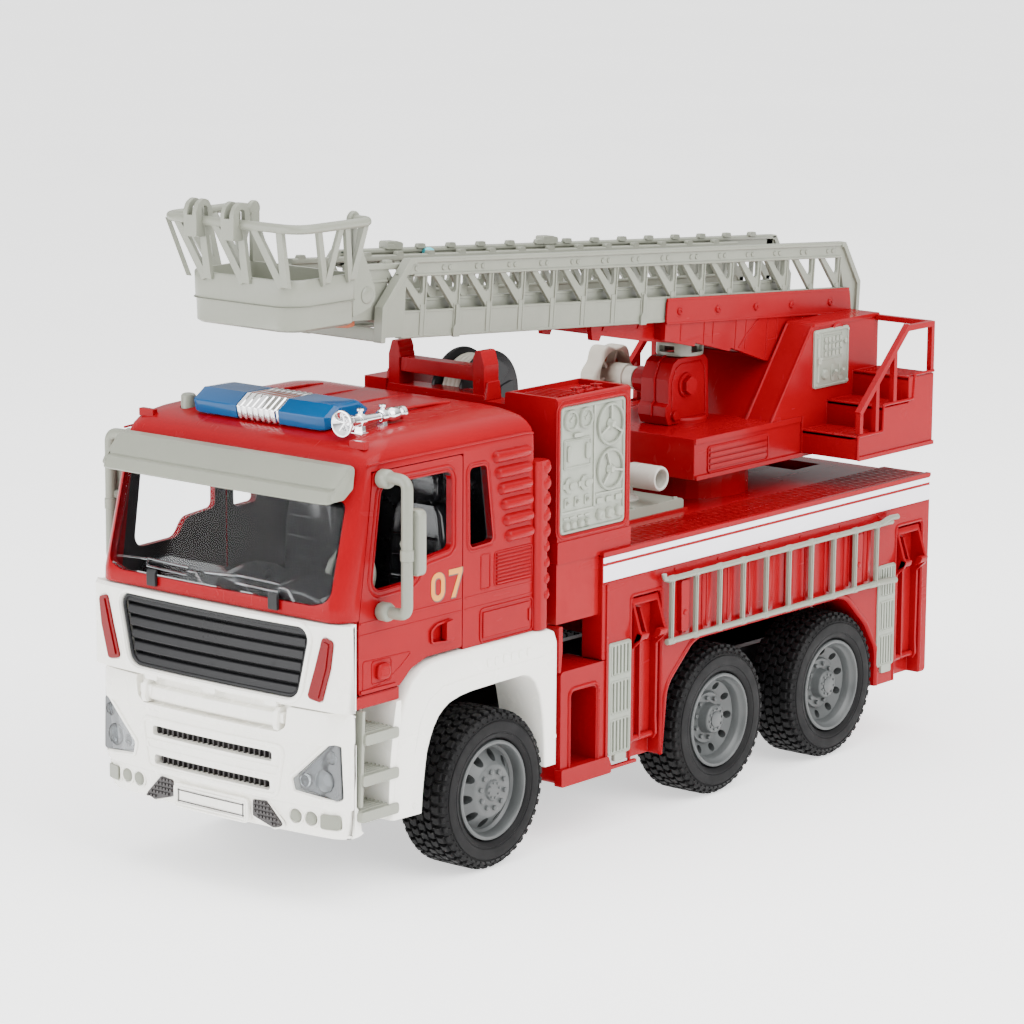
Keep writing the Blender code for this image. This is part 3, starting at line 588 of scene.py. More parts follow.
CREAM = plastic("cream_moulding", (0.50, 0.475, 0.40), rough=0.32, var=0.05, edge_highlight=0.3, edge_highlight_rgb=(0.76, 0.73, 0.64), sss=0.05)
KNOB = plastic("knob_moulding", (0.46, 0.44, 0.39), rough=0.24, var=0.05, edge_highlight=0.3, sss=0.03)
RUBBER = rubber("tyre_rubber")
CHROME = metalish("chrome_plate", (0.86, 0.86, 0.87), rough=0.07)
STEEL = metalish("steel_rod", (0.56, 0.56, 0.57), rough=0.26, stretch=(0.05, 1.0, 1.0))
BLUE = clearish("blue_lens", (0.004, 0.085, 0.250), rough=0.10, trans=0.25, spec=0.2)
BLUE_CORE = plastic("blue_core", (0.010, 0.15, 0.36), rough=0.3, var=0.2)
GLASS = clearish("clear_glazing", (0.95, 0.965, 0.975), rough=0.0, alpha_ior=1.13, tint_var=0.03)
LAMP_CLEAR = clearish("lamp_cover", (0.90, 0.93, 0.95), rough=0.02, tint_var=0.05)
LAMP_BACK = plastic("lamp_back", (0.12, 0.125, 0.13), rough=0.24, var=0.1, metal=0.5)
STRIPE = plastic("white_stripe", (0.86, 0.84, 0.90), rough=0.22, var=0.02, edge_highlight=0.0)
YELLOW = plastic("yellow_marking", (0.55, 0.185, 0.003), rough=0.26, var=0.04, edge_highlight=0.0)
DARK_INK = plastic("dark_marking", (0.05, 0.045, 0.045), rough=0.35, var=0.1, edge_highlight=0.0)
MESH_BLACK = plastic("mesh_black", (0.030, 0.026, 0.026), rough=0.38, var=0.15)
BRACKET = plastic("inner_bracket", (0.34, 0.085, 0.035), rough=0.34, var=0.1)
CYAN = plastic("pin_cyan", (0.05, 0.42, 0.48), rough=0.3, var=0.05)


# ------------------------------------------------------------------ wheels
AXLE_Y = {"front": -145.9, "mid": 14.9, "rear": 103.5}
AX_Z = 34.5


def tyre_solids():
    prof = [(21.9, 50.0), (21.9, 48.4), (22.6, 47.2), (24.4, 46.5), (28.0, 46.3), (31.0, 46.9), (32.4, 48.2), (32.9, 49.8),
            (32.9, 69.2), (32.4, 70.8), (31.2, 71.9), (30.5, 72.3), (30.3, 71.9), (29.9, 71.9), (29.7, 72.45), (28.0, 72.6),
            (25.4, 72.45), (25.2, 72.1), (24.8, 72.1), (24.6, 72.35), (23.3, 72.0), (22.3, 71.3), (21.9, 70.2)]
    parts = [lathe("x", (0, 0), prof, 96, closed=True)]
    n = 44
    pitch = 2 * math.pi / n
    bm = bmesh.new()

    def block(outline, r0, r1, base):
        """outline: (x, share of the pitch); a raised tread block whose top is a little smaller."""
        cx = sum(p[0] for p in outline) / len(outline)
        cy = sum(p[1] for p in outline) / len(outline)
        lo, hi = [], []
        for x, s in outline:
            a = base + s * pitch
            lo.append(bm.verts.new((x, r0 * math.cos(a), r0 * math.sin(a))))
            x2, s2 = cx + (x - cx) * 0.86, cy + (s - cy) * 0.86
            a = base + s2 * pitch
            hi.append(bm.verts.new((x2, r1 * math.cos(a), r1 * math.sin(a))))
        m = len(outline)
        bm.faces.new(hi)
        for i in range(m):
            bm.faces.new((lo[i], lo[(i + 1) % m], hi[(i + 1) % m], hi[i]))

    rows = [(53.2, 57.2, 0.0, 0.22), (57.5, 61.5, 0.5, -0.22), (61.8, 65.8, 0.0, 0.22)]
    for k in range(n):
        a = k * pitch
        for x0, x1, ph, sk in rows:
            xm = (x0 + x1) / 2
            block([(x0, -0.38), (xm, -0.38 + sk), (x1, -0.38), (x1, 0.38), (xm, 0.38 + sk), (x0, 0.38)], 32.6, 34.5, a + ph * pitch)
        for x0, x1, r_out, xo, ph in ((52.9, 49.4, 33.9, 47.6, 0.5), (66.1, 69.8, 33.9, 71.5, 0.5)):
            block([(x0, -0.40), ((x0 + x1) / 2, -0.30), (x1, -0.36), (x1, 0.36), ((x0 + x1) / 2, 0.42), (x0, 0.34)], 32.5, 34.45, a + ph * pitch)
            block([(x1, -0.34), (xo, -0.30), (xo, 0.30), (x1, 0.34)], 31.6, 33.2, a + ph * pitch)
    bmesh.ops.recalc_face_normals(bm, faces=bm.faces)
    parts.append(bm)
    # raised moulding ticks round the sidewall
    for k in range(60):
        a = 2 * math.pi * k / 60
        m = Matrix.Rotation(a, 4, "X")
        parts.append(moved(box(71.95, 72.6, 30.7, 31.5, -0.22, 0.22), m))
    return parts


def holes(r, n, rt, rr, x0, x1, turn=0.0):
    out = []
    for k in range(n):
        a = 2 * math.pi * (k + turn) / n
        pts = [(r + rr * math.cos(t), rt * math.sin(t)) for t in [2 * math.pi * j / 14 for j in range(14)]]
        out.append(moved(prism("x", pts, x0, x1), Matrix.Rotation(a, 4, "X")))
    return out


def ringed(make, r, n, turn=0.0):
    return [moved(make(r), Matrix.Rotation(2 * math.pi * (k + turn) / n, 4, "X")) for k in range(n)]


def rim_front():
    face = lathe("x", (0, 0), [(21.5, 48.0), (21.5, 71.7), (20.9, 72.1), (20.1, 72.0), (19.5, 71.2), (19.0, 67.0), (17.9, 66.0),
                               (16.9, 66.2), (12.1, 70.4), (11.3, 71.0), (10.7, 71.2), (4.6, 71.2), (4.4, 71.6), (4.1, 72.2),
                               (3.0, 72.3), (0, 72.3), (0, 62.0), (11.0, 62.0), (17.4, 61.0), (18.2, 59.0), (18.2, 48.0)], 72, closed=False)
    face = clean(merged([face, lathe("x", (0, 0), [(18.2, 48.0), (21.5, 48.0)], 72)]))
    face = cut(face, holes(14.6, 10, 2.0, 2.5, 58, 75))
    nuts = ringed(lambda r: knob("x", (r, 0), 1.15, 71.0, 72.3, 10), 8.1, 10, 0.5)
    studs = ringed(lambda r: knob("x", (r, 0), 0.55, 72.0, 72.75, 8), 3.3, 8)
    return [face] + nuts + studs + [lathe("x", (0, 0), [(0, 57.5), (18.0, 57.5), (18.0, 56.5), (0, 56.5)], 24)]


def rim_rear():
    face = lathe("x", (0, 0), [(21.5, 48.0), (21.5, 71.7), (20.9, 72.1), (20.2, 72.0), (19.6, 71.2), (19.3, 70.2), (18.4, 69.6),
                               (18.0, 68.9), (17.2, 66.0), (12.2, 63.4), (11.9, 64.0), (11.5, 64.6), (7.2, 64.6), (6.9, 65.0),
                               (6.6, 68.4), (6.2, 69.2), (5.7, 69.5), (3.7, 69.5), (3.6, 70.0), (3.2, 70.2), (0, 70.2), (0, 58.0),
                               (16.0, 58.0), (18.2, 60.0), (18.2, 48.0)], 72, closed=False)
    face = clean(merged([face, lathe("x", (0, 0), [(18.2, 48.0), (21.5, 48.0)], 72)]))
    face = cut(face, holes(14.9, 10, 1.75, 1.85, 52, 75, 0.25))
    nuts = ringed(lambda r: knob("x", (r, 0), 1.05, 64.4, 65.9, 10), 9.3, 10, 0.0)
    studs = ringed(lambda r: knob("x", (r, 0), 0.6, 69.3, 70.15, 8), 4.75, 10, 0.5)
    return [face] + nuts + studs + [lathe("x", (0, 0), [(0, 53.0), (18.0, 53.0), (18.0, 52.0), (0, 52.0)], 24)]


_tyre, _rf, _rr = merged(tyre_solids()), merged(rim_front()), merged(rim_rear())
for _w, _y in AXLE_Y.items():
    for _side, _s in (("left", 1), ("right", -1)):
        _at = Matrix.Translation((0, _y, AX_Z)) @ Matrix.Rotation(math.radians({"front": 8, "mid": 22, "rear": 3}[_w]), 4, "X")
        if _s < 0:
            _at = _at @ Matrix.Rotation(math.pi, 4, "Z")
        put("wheel_tyre_%s_%s" % (_w, _side), _tyre, RUBBER, _w + "_wheels", bevel=0.18, seg=1, limit=40, M=_at,
            rep=["tyre_%s_%s" % (_w, _side)], slot="rubber")
        put("wheel_rim_%s_%s" % (_w, _side), _rf if _w == "front" else _rr, RIM, _w + "_wheels", bevel=0.16, seg=2, limit=40, M=_at,
            rep=["rim_%s_%s" % (_w, _side)], slot="rim_grey")


# ------------------------------------------------------------------ cab
def cab_ring(z, xh, yf, yr, rf, rr, bow=1.2, nc=7, nf=10):
    pts = []
    for i in range(nf + 1):
        x = -(xh - rf) + 2 * (xh - rf) * i / nf
        pts.append((x, yf + bow * (x / xh) ** 2, z))
    yc = yf + bow * ((xh - rf) / xh) ** 2
    for i in range(1, nc + 1):
        a = math.radians(-90 + 90 * i / nc)
        pts.append((xh - rf + rf * math.cos(a), yc + rf + rf * math.sin(a), z))
    for cx, a0 in ((xh - rr, 0), (-(xh - rr), 90)):
        for i in range(nc + 1):
            a = math.radians(a0 + 90 * i / nc)
            pts.append((cx + rr * math.cos(a), yr - rr + rr * math.sin(a), z))
    for i in range(nc):
        a = math.radians(180 + 90 * i / nc)
        pts.append((-(xh - rf) + rf * math.cos(a), yc + rf + rf * math.sin(a), z))
    return pts


CAB_RINGS = [(84.8, 68.8, -231.0, -116, 4.0, 1.5), (121.3, 69.0, -231.2, -116, 4.0, 1.5), (121.5, 69.0, -240.2, -116, 8.0, 1.5),
             (122.4, 69.0, -240.9, -116, 8.5, 1.5), (127.0, 69.0, -241.0, -116, 9.0, 1.5), (140.0, 69.0, -237.6, -116, 9.0, 1.6),
             (155.0, 69.0, -233.6, -116, 9.0, 1.7), (168.0, 69.0, -230.1, -116, 9.0, 1.8), (178.0, 69.0, -227.4, -116, 9.0, 2.0),
             (183.0, 69.0, -225.8, -116, 9.5, 2.4), (186.2, 68.5, -224.0, -116.2, 10, 3.4), (188.8, 67.3, -221.8, -116.8, 10.5, 4.6),
             (190.8, 65.6, -218.6, -117.8, 11.5, 6.0), (192.4, 63.0, -214.2, -119.2, 12.5, 7.5), (193.6, 59.4, -209.6, -121, 13.5, 9),
             (194.6, 54.0, -204.0, -123.4, 14.5, 10), (195.5, 45.0, -195.0, -127.5, 15, 11), (196.3, 33.0, -184.0, -134, 13, 11),
             (196.8, 22.0, -176.0, -140, 9, 9)]


def cab_loft(grow, z_lo=None):
    rings = []
    for z, xh, yf, yr, rf, rr in CAB_RINGS:
        k = max(0.0, min(1.0, (z - 183) / 14.0))
        zz = z + grow * k if z > 183 else z
        g = grow * (1 - 0.75 * k)
        rings.append(cab_ring(zz, max(1.0, xh + g), yf - g, yr + (g if yr > -140 else 0), max(0.8, rf + g * 0.6), max(0.6, rr + g * 0.4)))
    if z_lo is not None:
        rings[0] = [(x, y, z_lo) for x, y, z in rings[0]]
    return loft(rings)


DOOR_LINE = [(-228.4, 90.2), (-228.4, 118.2), (-219.4, 181.0), (-163.6, 181.0), (-163.6, 99.4), (-186, 99.2), (-196, 96.0), (-203, 90.2)]
DOOR_WIN = fillet([(-220.4, 131.8), (-214.4, 175), (-170.5, 175), (-170.5, 142.4), (-188.5, 140.6), (-194, 132.6)],
                  [5, 5, 4, 3, 7, 6], 6)
SLIT = fillet([(-158.9, 140.8), (-159.4, 174.6), (-148.6, 174.6), (-143.9, 141.4)], 2.2, 4)
WIND = fillet([(62.8, 130.0), (62.4, 169.5), (-62.4, 169.5), (-62.8, 130.0), (-54, 127.4), (54, 127.4)], [9, 3, 3, 9, 9, 9], 7)
ARCH_TOP = [(-250, 84.4), (-204.2, 84.4), (-204.2, 98.3), (-100, 98.3), (-100, 60), (-250, 60)]

cab = cut(cab_loft(0), [cab_loft(-3.4, 70)])
door_hole = [(-228.8, 84.9 + 4.9), (-228.8, 118.3), (-219.8, 181.4), (-163.2, 181.4), (-163.2, 89.8)]
cab = cut(cab, both(prism("x", door_hole, 60, 80), prism("x", SLIT, 60, 80)) +
          [prism("y", WIND, -250, -215), prism("x", [(-203.5, 60), (-203.5, 98.3), (-100, 98.3), (-100, 60)], -80, 80),
           cyl("z", (-46.0, -207.0), 3.6, 180, 205, 20), box(-66, 66, -236, -226, 60, 118)])
put("cab_body", cab, RED, "chassis", bevel=0.45, seg=3, limit=38, rep=["cab_shell"], slot="red", tidy=True)


def cab_side_trim():
    out = []
    ends = ((-144.2, -119.6), (-142.4, -119.1), (-140.5, -118.6), (-138.7, -118.1), (-137.0, -117.7), (-135.4, -117.4))
    for k, (a, b) in enumerate(ends):
        z = 176.9 - 6.95 * k
        pts = fillet([(a, z - 2.5), (b, z - 2.5), (b, z + 2.5), (a, z + 2.5)], 2.4, 5)
        rings = []
        for g, x in ((0.5, 68.6), (0.1, 69.2), (-0.35, 70.1), (-0.95, 70.8), (-1.7, 71.1)):
            rings.append([(x, y, zz) for y, zz in offset(pts, g)])
        out.append(loft(rings))
    out.append(loop_bead("x", fillet([(-151.6, 121.8), (-145.6, 121.8), (-145.6, 136.6), (-151.6, 136.6)], 0.9, 3), 0.32, 69.0))
    out.append(loop_bead("x", fillet([(-142.6, 121.9), (-117.9, 121.9), (-117.9, 136.4), (-142.6, 136.4)], 1.4, 3), 0.4, 69.0))
    for k in range(9):
        z = 122.9 + 1.56 * k
        out.append(tube([(69.0, -141.4, z), (69.0, -119.0, z)], 0.62, 8))
    flap = fillet([(-151.9, 98.9), (-117.4, 98.9), (-117.4, 113.5), (-151.9, 113.5)], 2.2, 4)
    out.append(loop_bead("x", flap, 0.42, 69.0))
    out.append(prism("x", offset(flap, -1.9), 68.8, 69.35))
    out.append(loop_bead("x", offset(flap, -1.9), 0.30, 69.2))
    out.append(box(68.8, 69.9, -120.6, -119.2, 103.6, 108.8))
    out.append(prism("z", fillet([(64, -117.2), (70.2, -117.2), (71.4, -114.5), (71.2, -110.4), (69.4, -108.0), (65.5, -108.0), (64, -110)], 1.4, 3), 98.5, 171.6))
    for k in range(9):
        z = 113.2 + 6.9 * k
        h = 2.9 if k > 3 else 2.2
        out.append(loft([[(x, y, zz) for y, zz in circle(-110.6, z, h * s, 14)] for x, s in
                         ((68.5, 1.0), (70.9, 1.0), (71.5, 0.8), (71.8, 0.35))]))
        out.append(loft([[(xx, y, zz) for xx, zz in [(68.8 + 1.5 * h / 2.9 * math.cos(t), z + h * math.sin(t)) for t in
                                                    [2 * math.pi * j / 12 for j in range(12)]]] for y in (-108.4, -107.1)]))
    # crease lines behind the door and along the roof edge
    out.append(bar((68.95, -161.8, 119.8), (68.95, -117.6, 119.8), 0.6, 0.5, (1, 0, 0)))
    out.append(bar((68.95, -161.8, 115.0), (68.95, -117.6, 115.0), 0.5, 0.4, (1, 0, 0)))
    out.append(tube(round_path([(68.8, -222.5, 184.2), (69.05, -214, 184.6), (69.05, -122, 184.6), (68.7, -117.5, 184.0)], 3), 0.5, 8))
    out.append(loop_bead("x", offset(SLIT, 1.6), 0.65, 68.9))
    out.append(ring_prism("x", SLIT, 0.9, 66.2, 69.25))
    # sill under the door
    out.append(prism("x", [(-230.6, 84.7), (-230.6, 89.4), (-205.4, 89.4), (-204.6, 84.7)], 65.0, 69.1))
    return out


twin("cab_trim", cab_side_trim, RED, "chassis", bevel=0.12, seg=2, limit=45, slot="red")


def roof_z(x, y):
    """Height of the roof skin, read from the lofted rings."""
    best = 183.0
    for z, xh, yf, yr, rf, rr in CAB_RINGS:
        if z >= 183 and abs(x) <= xh and yf <= y <= yr:
            best = max(best, z)
    return best


trim = []
for _x in (-34.0, -10.0, 14.0, 38.0):
    trim.append(tube([(_x, y, z) for y, z in ((-186, 195.75), (-176, 196.35), (-160, 196.75), (-146, 196.55), (-136, 195.9))], 0.75, 8))
for _x in (-59.5, 59.5):
    trim.append(box(_x - 4.2, _x + 4.2, -219.0, -216.2, 189.4, 192.7))
put("roof_trim", trim, RED, "chassis", bevel=0.4, seg=2, slot="red")
put("roof_button", [lathe("z", (-46.0, -207.0), [(0, 189.5), (3.2, 189.5), (3.2, 198.4), (2.7, 199.1), (1.9, 199.4), (0, 199.4)], 28)],
    SAGE, "sound_button", bevel=0, rep=["sound_button"], slot="sage")


# doors
def door_solids():
    d = prism("x", fillet(DOOR_LINE, [1.2, 2, 1.5, 1.5, 1.0, 3, 4, 1.5], 4), 65.9, 68.9)
    pocket = fillet([(-183.4, 104.9), (-183.6, 109.4), (-180.2, 111.4), (-170.9, 112.2), (-171.0, 103.9)], 1.2, 4)
    return cut(d, [prism("x", DOOR_WIN, 60, 75), prism("x", pocket, 67.0, 75)]), pocket


def door_piece():
    d, pocket = door_solids()
    out = [d, loop_bead("x", offset(DOOR_WIN, 2.7), 0.72, 68.75), loop_bead("x", offset(DOOR_WIN, 0.7), 0.5, 68.85)]
    out.append(ring_prism("x", pocket, 0.9, 68.0, 69.9))
    out.append(prism("x", fillet([(-175.6, 104.2), (-175.6, 112.2), (-170.8, 112.8), (-170.8, 103.8)], 0.9, 4), 68.0, 70.9))
    out.append(bar((68.95, -227.6, 119.9), (68.95, -164.2, 119.9), 0.7, 0.6, (1, 0, 0)))
    out.append(bar((68.95, -227.9, 115.0), (68.95, -164.2, 115.0), 0.5, 0.4, (1, 0, 0)))
    tri = fillet([(-225.8, 91.8), (-225.8, 103.9), (-195.4, 103.2), (-202.5, 98.2), (-209.5, 94.6), (-217, 92.6)], [0.4, 1, 0.6, 3, 4, 2], 4)
    out.append(loop_bead("x", tri, 0.30, 68.9))
    out.append(loop_bead("x", fillet([(-220.4, 93.6), (-208.4, 93.6), (-208.4, 103.0), (-220.4, 103.0)], 1.4, 3), 0.34, 68.9))
    btn = fillet([(-218.2, 94.9), (-210.2, 94.9), (-210.2, 101.6), (-218.2, 101.6)], 2.4, 5)
    out.append(loft([[(x, y, z) for y, z in offset(btn, g)] for g, x in ((0, 68.6), (0, 70.2), (-0.4, 70.7), (-1.1, 70.9))]))
    out.append(loop_bead("x", offset(btn, -1.7), 0.22, 70.85))
    out.append(bar((68.8, -227.6, 91.4), (68.8, -206.0, 91.4), 1.3, 1.6, (1, 0, 0)))
    return out


twin("door_panel", door_piece, RED, ("door_left", "door_right"), bevel=0.32, seg=2, limit=36, rep=["door_%s"], slot="red", tidy=False)


def mirror_piece():
    path = round_path([(69.1, -215.6, 178.4), (76.5, -216.0, 179.4), (84.0, -216.0, 178.8), (84.0, -216.0, 124.0),
                       (76.5, -215.8, 123.6), (69.1, -215.0, 123.6)], 6.5, 7)
    out = [tube(path, 2.45, 16)]
    out.append(lathe("z", (84.0, -216.0), [(2.4, 146.0), (2.85, 146.4), (2.85, 150.6), (2.4, 151.0)], 16))
    for z in (178.4, 123.6):
        out.append(lathe("x", (-215.5, z), [(0, 69.0), (3.3, 69.0), (3.9, 70.0), (4.0, 73.4), (3.5, 74.6), (2.5, 75.2), (0, 75.2)], 20))
    shell = rect(80.2, 88.0, 139.6, 167.0, 2.6, 5)
    out.append(loft([[(x, y, z) for x, z in offset(shell, g)] for g, y in
                     ((-1.6, -213.6), (-0.4, -213.0), (0, -212.0), (0, -208.9), (-0.5, -208.2))]))
    out.append(tube([(82.5, -215.5, 152.6), (80.5, -213.6, 152.6)], 2.0, 10))
    return out


twin("mirror_arm", mirror_piece, SAGE, ("door_left", "door_right"), bevel=0.18, seg=2, limit=40, rep=["mirror_%s"], slot="sage")
twin("mirror_glass", lambda: [loft([[(x, y, z) for x, z in offset(rect(80.2, 88.0, 139.6, 167.0, 2.6, 5), g)] for g, y in ((-0.9, -208.3), (-1.1, -207.9))])],
     metalish("mirror_silver", (0.72, 0.74, 0.75), 0.05), ("door_left", "door_right"), bevel=0, slot="chrome")


# number on the doors, drawn as plain raised strokes
def numeral_strokes(y0, z0, h, w, t, d):
    """Strokes of the number 07 as outlines in (y, z), a generic fleet number."""
    zero = fillet([(y0, z0), (y0 + w, z0), (y0 + w, z0 + h), (y0, z0 + h)], w * 0.48, 8)
    x7 = y0 + w + t * 1.15
    seven = [(x7, z0 + h), (x7, z0 + h - t), (x7 + w - t * 1.05, z0 + h - t), (x7 + w * 0.18, z0), (x7 + w * 0.18 + t * 1.12, z0),
             (x7 + w, z0 + h - t * 0.8), (x7 + w, z0 + h)]
    return zero, seven


def numeral(side, mat, y0, z0, x0, x1, grow):
    zero, seven = numeral_strokes(y0, z0, 12.0, 8.6, 2.3, side)
    out = [ring_prism("x", offset(zero, -2.3 - grow), 2.3 + 2 * grow, x0, x1), prism("x", offset(seven, grow), x0, x1)]
    return out


for _side, _s in (("left", 1), ("right", -1)):
    for _nm, _mat, _x0, _x1, _g, _dy in (("ink", DARK_INK, 68.9, 69.02, 0.30, 0.35), ("fill", YELLOW, 68.92, 69.10, 0.0, 0.0)):
        _b = numeral(_side, _mat, -183.6 + _dy, 121.6 - _dy * 0.6, _x0, _x1, _g)
        if _s < 0:
            _b = [moved(x, Matrix.Translation((0, -2 * 173.5, 0)) @ Matrix.Rotation(math.pi, 4, "Z")) for x in _b]
        put("number_%s_%s" % (_nm, _side), _b, _mat, "door_" + _side, bevel=0)


# visor, windscreen and what shows through it
def visor_ring(x, k):
    """Section of the visor at x; k shrinks it towards its back edge at the rounded ends."""
    outer = [(-226.0, 184.2), (-229.6, 183.6), (-237.5, 176.4), (-237.3, 175.5), (-239.2, 174.8), (-241.6, 170.6), (-241.0, 169.9)]
    inner = [(-239.6, 170.4), (-236.6, 174.8), (-229.0, 181.6), (-226.0, 182.2)]
    c = (-227.0, 178.0)
    return [(x, c[0] + (y - c[0]) * k, c[1] + (z - c[1]) * (k * 0.6 + 0.4)) for y, z in outer + inner]


vis = []
for _x, _k in ((-65.2, 0.25), (-65.0, 0.62), (-64.2, 0.86), (-62.6, 0.98), (-58, 1.0), (-30, 1.012), (0, 1.018), (30, 1.012), (58, 1.0),
               (62.6, 0.98), (64.2, 0.86), (65.0, 0.62), (65.2, 0.25)):
    vis.append(visor_ring(_x, _k))
put("visor_blade", [loft(vis)] + both(prism("x", fillet([(-226.2, 184.0), (-229.4, 183.2), (-237.8, 175.2), (-240.6, 171.0), (-233.0, 171.2), (-227.4, 175.0)], 1.2, 3), 63.6, 65.1)),
    SAGE, "chassis", bevel=0.3, seg=2, limit=30, rep=["sun_visor"], slot="sage")

pane = common(cut(cab_loft(0.25), [cab_loft(-1.5, 70)]), prism("y", offset(WIND, -0.5), -250, -218))
put("windscreen", pane, GLASS, "chassis", bevel=0.15, seg=2, limit=50, rep=["windshield"], slot="clear", tidy=True)


def on_glass(x, z, out=0.35):
    """Point on the windscreen's outer skin."""
    rings = [r for r in CAB_RINGS if 122 < r[0] < 184]
    for a, b in zip(rings, rings[1:]):
        if a[0] <= z <= b[0]:
            t = (z - a[0]) / (b[0] - a[0])
            yf = a[2] + (b[2] - a[2]) * t
            return (x, yf + 1.2 * (x / 69.0) ** 2 - 0.25 - out, z)
    return (x, -241.2 - out, z)


wip = []
for _x0 in (-57.0, -6.0):
    wip.append(tube([on_glass(_x0 + 18 * t, 133.0 + 0.9 * t) for t in (0, 0.5, 1)], 0.42, 8))
    wip.append(tube([on_glass(_x0 + 18 + 24 * t, 134.3 - 0.6 * t) for t in (0, 0.5, 1)], 0.42, 8))
    wip.append(tube([on_glass(_x0 + 18 + 24 * t, 131.2 - 0.6 * t) for t in (0, 0.5, 1)], 0.42, 8))
    wip.append(tube([on_glass(_x0 + 18, 131.2), on_glass(_x0 + 18, 134.3)], 0.42, 8))
    wip.append(tube([on_glass(_x0 + 42, 130.6), on_glass(_x0 + 42, 133.7)], 0.42, 8))
    wip.append(tube([on_glass(_x0 + 42, 132.2), on_glass(_x0 + 46, 132.4), on_glass(_x0 + 51, 128.0)], 0.42, 8))
put("wiper_mouldings", wip, LAMP_CLEAR, "chassis", bevel=0, slot="clear")
tabs = []
for _x in (-34.5, 34.5):
    tabs.append(prism("x", [(-242.5, 123.4), (-242.7, 128.8), (-241.9, 130.6), (-241.0, 130.4), (-241.0, 123.4)], _x - 2.6, _x + 2.6))
put("glass_tabs", tabs, BLACK, "chassis", bevel=0.4, seg=2, slot="black")


def seat(x):
    cush = fillet([(x - 17, 0), (x + 17, 0), (x + 17, 9), (x - 17, 9)], 3, 4)
    out = [loft([[(px, y, 100 + pz * k + dz) for px, pz in cush] for y, k, dz in ((-177, 0.55, 0), (-174, 0.95, 0), (-160, 0.9, 0), (-149, 1.0, 0))])]
    back = fillet([(x - 16, -4), (x + 16, -4), (x + 16, 4), (x - 16, 4)], 3, 4)
    out.append(loft([[(x + (px - x) * w, -146 + py * 1.0 + dy, z) for px, py in back] for z, w, dy in
                     ((104, 0.9, 0), (118, 1.0, 0.6), (136, 0.98, 1.4), (149, 0.84, 2.2), (153, 0.66, 2.4))]))
    head = fillet([(x - 10, -3.2), (x + 10, -3.2), (x + 10, 3.2), (x - 10, 3.2)], 2.4, 4)
    out.append(loft([[(x + (px - x) * w, -143.4 + py * w, z) for px, py in head] for z, w in ((154.5, 0.86), (157, 1.0), (165, 1.0), (168, 0.8))]))
    for dx in (-5, 5):
        out.append(tube([(x + dx, -143.6, 150), (x + dx, -143.4, 157)], 0.9, 8))
    for z in (112, 121, 130, 139):
        out.append(tube([(x - 12, -150.3 + (z - 104) * 0.045, z), (x + 12, -150.3 + (z - 104) * 0.045, z)], 0.7, 8))
    return out


inside = seat(30) + seat(-30)
inside.append(box(-64, 64, -218, -121, 98.8, 101.5))
dash = [(-222, 101), (-222, 120), (-217, 126.5), (-208, 128), (-200, 124), (-197.5, 116), (-199.5, 101)]
inside.append(prism("x", fillet(dash, 2, 4), -63.5, 63.5))
inside.append(loft([[(x, y, z) for y, z in fillet([(-226, 119 + h), (-208, 123 + h), (-198, 121 + h), (-198, 112), (-226, 112)], 2, 3)] for x, h in
                    ((12, 2), (16, 7), (24, 9.5), (36, 9.5), (45, 7), (49, 2))]))
inside.append(loft([[(x, y, z) for y, z in fillet([(-228, 122 + h), (-212, 126 + h), (-200, 123 + h), (-200, 112), (-228, 112)], 2, 3)] for x, h in
                    ((-14, 0), (-10, 6), (-2, 8), (6, 6), (10, 0))]))
inside.append(prism("x", fillet([(-198, 101), (-198, 116), (-182, 110), (-150, 109), (-150, 101)], 2, 3), -8.5, 8.5))
inside.append(box(-65.2, 65.2, -121.6, -119.6, 99, 186))
put("cab_seats", inside, SEAT, "chassis", bevel=0.7, seg=3, limit=34, rep=["cab_interior"], slot="black")
sw = []
sw.append(tube([(30 + 12.2 * math.cos(2 * math.pi * k / 32), -189.6 + 3.2 * math.sin(2 * math.pi * k / 32), 128 + 11.6 * math.sin(2 * math.pi * k / 32))
                for k in range(33)], 1.35, 10, caps=False))
for a in (90, 210, 330):
    t = math.radians(a)
    sw.append(tube([(30, -190.4, 128), (30 + 11.4 * math.cos(t), -189.6 + 3.0 * math.sin(t), 128 + 10.8 * math.sin(t))], 1.1, 8))
sw.append(knob("y", (30, 128), 3.3, -192, -188.2, 18))
sw.append(tube([(30, -190.5, 128), (30, -199.5, 124.4)], 1.7, 10))
put("steering_ring", sw, SAGE, "chassis", bevel=0, rep=["steering_wheel"], slot="sage")


# light bar, horn
def bar_section(k=1.0, cut_end=0.0):
    pts = [(-206.0, 195.3), (-213.2, 193.1), (-214.4, 199.0), (-207.5, 203.6), (-191.5, 203.6), (-185.0, 199.4), (-187.0, 197.4)]
    c = (-199.6, 198.6)
    return fillet([(c[0] + (y - c[0]) * k, c[1] + (z - c[1]) * k) for y, z in pts], 0.9, 3)


def lens():
    outer = loft([[(x, y, z) for y, z in bar_section(k)] for x, k in ((11.9, 1.0), (33.6, 1.0), (36.6, 0.93), (38.2, 0.74))])
    return cut(outer, [loft([[(x, y, z) for y, z in bar_section(k)] for x, k in ((13.0, 0.80), (33.0, 0.80), (35.6, 0.68))])])


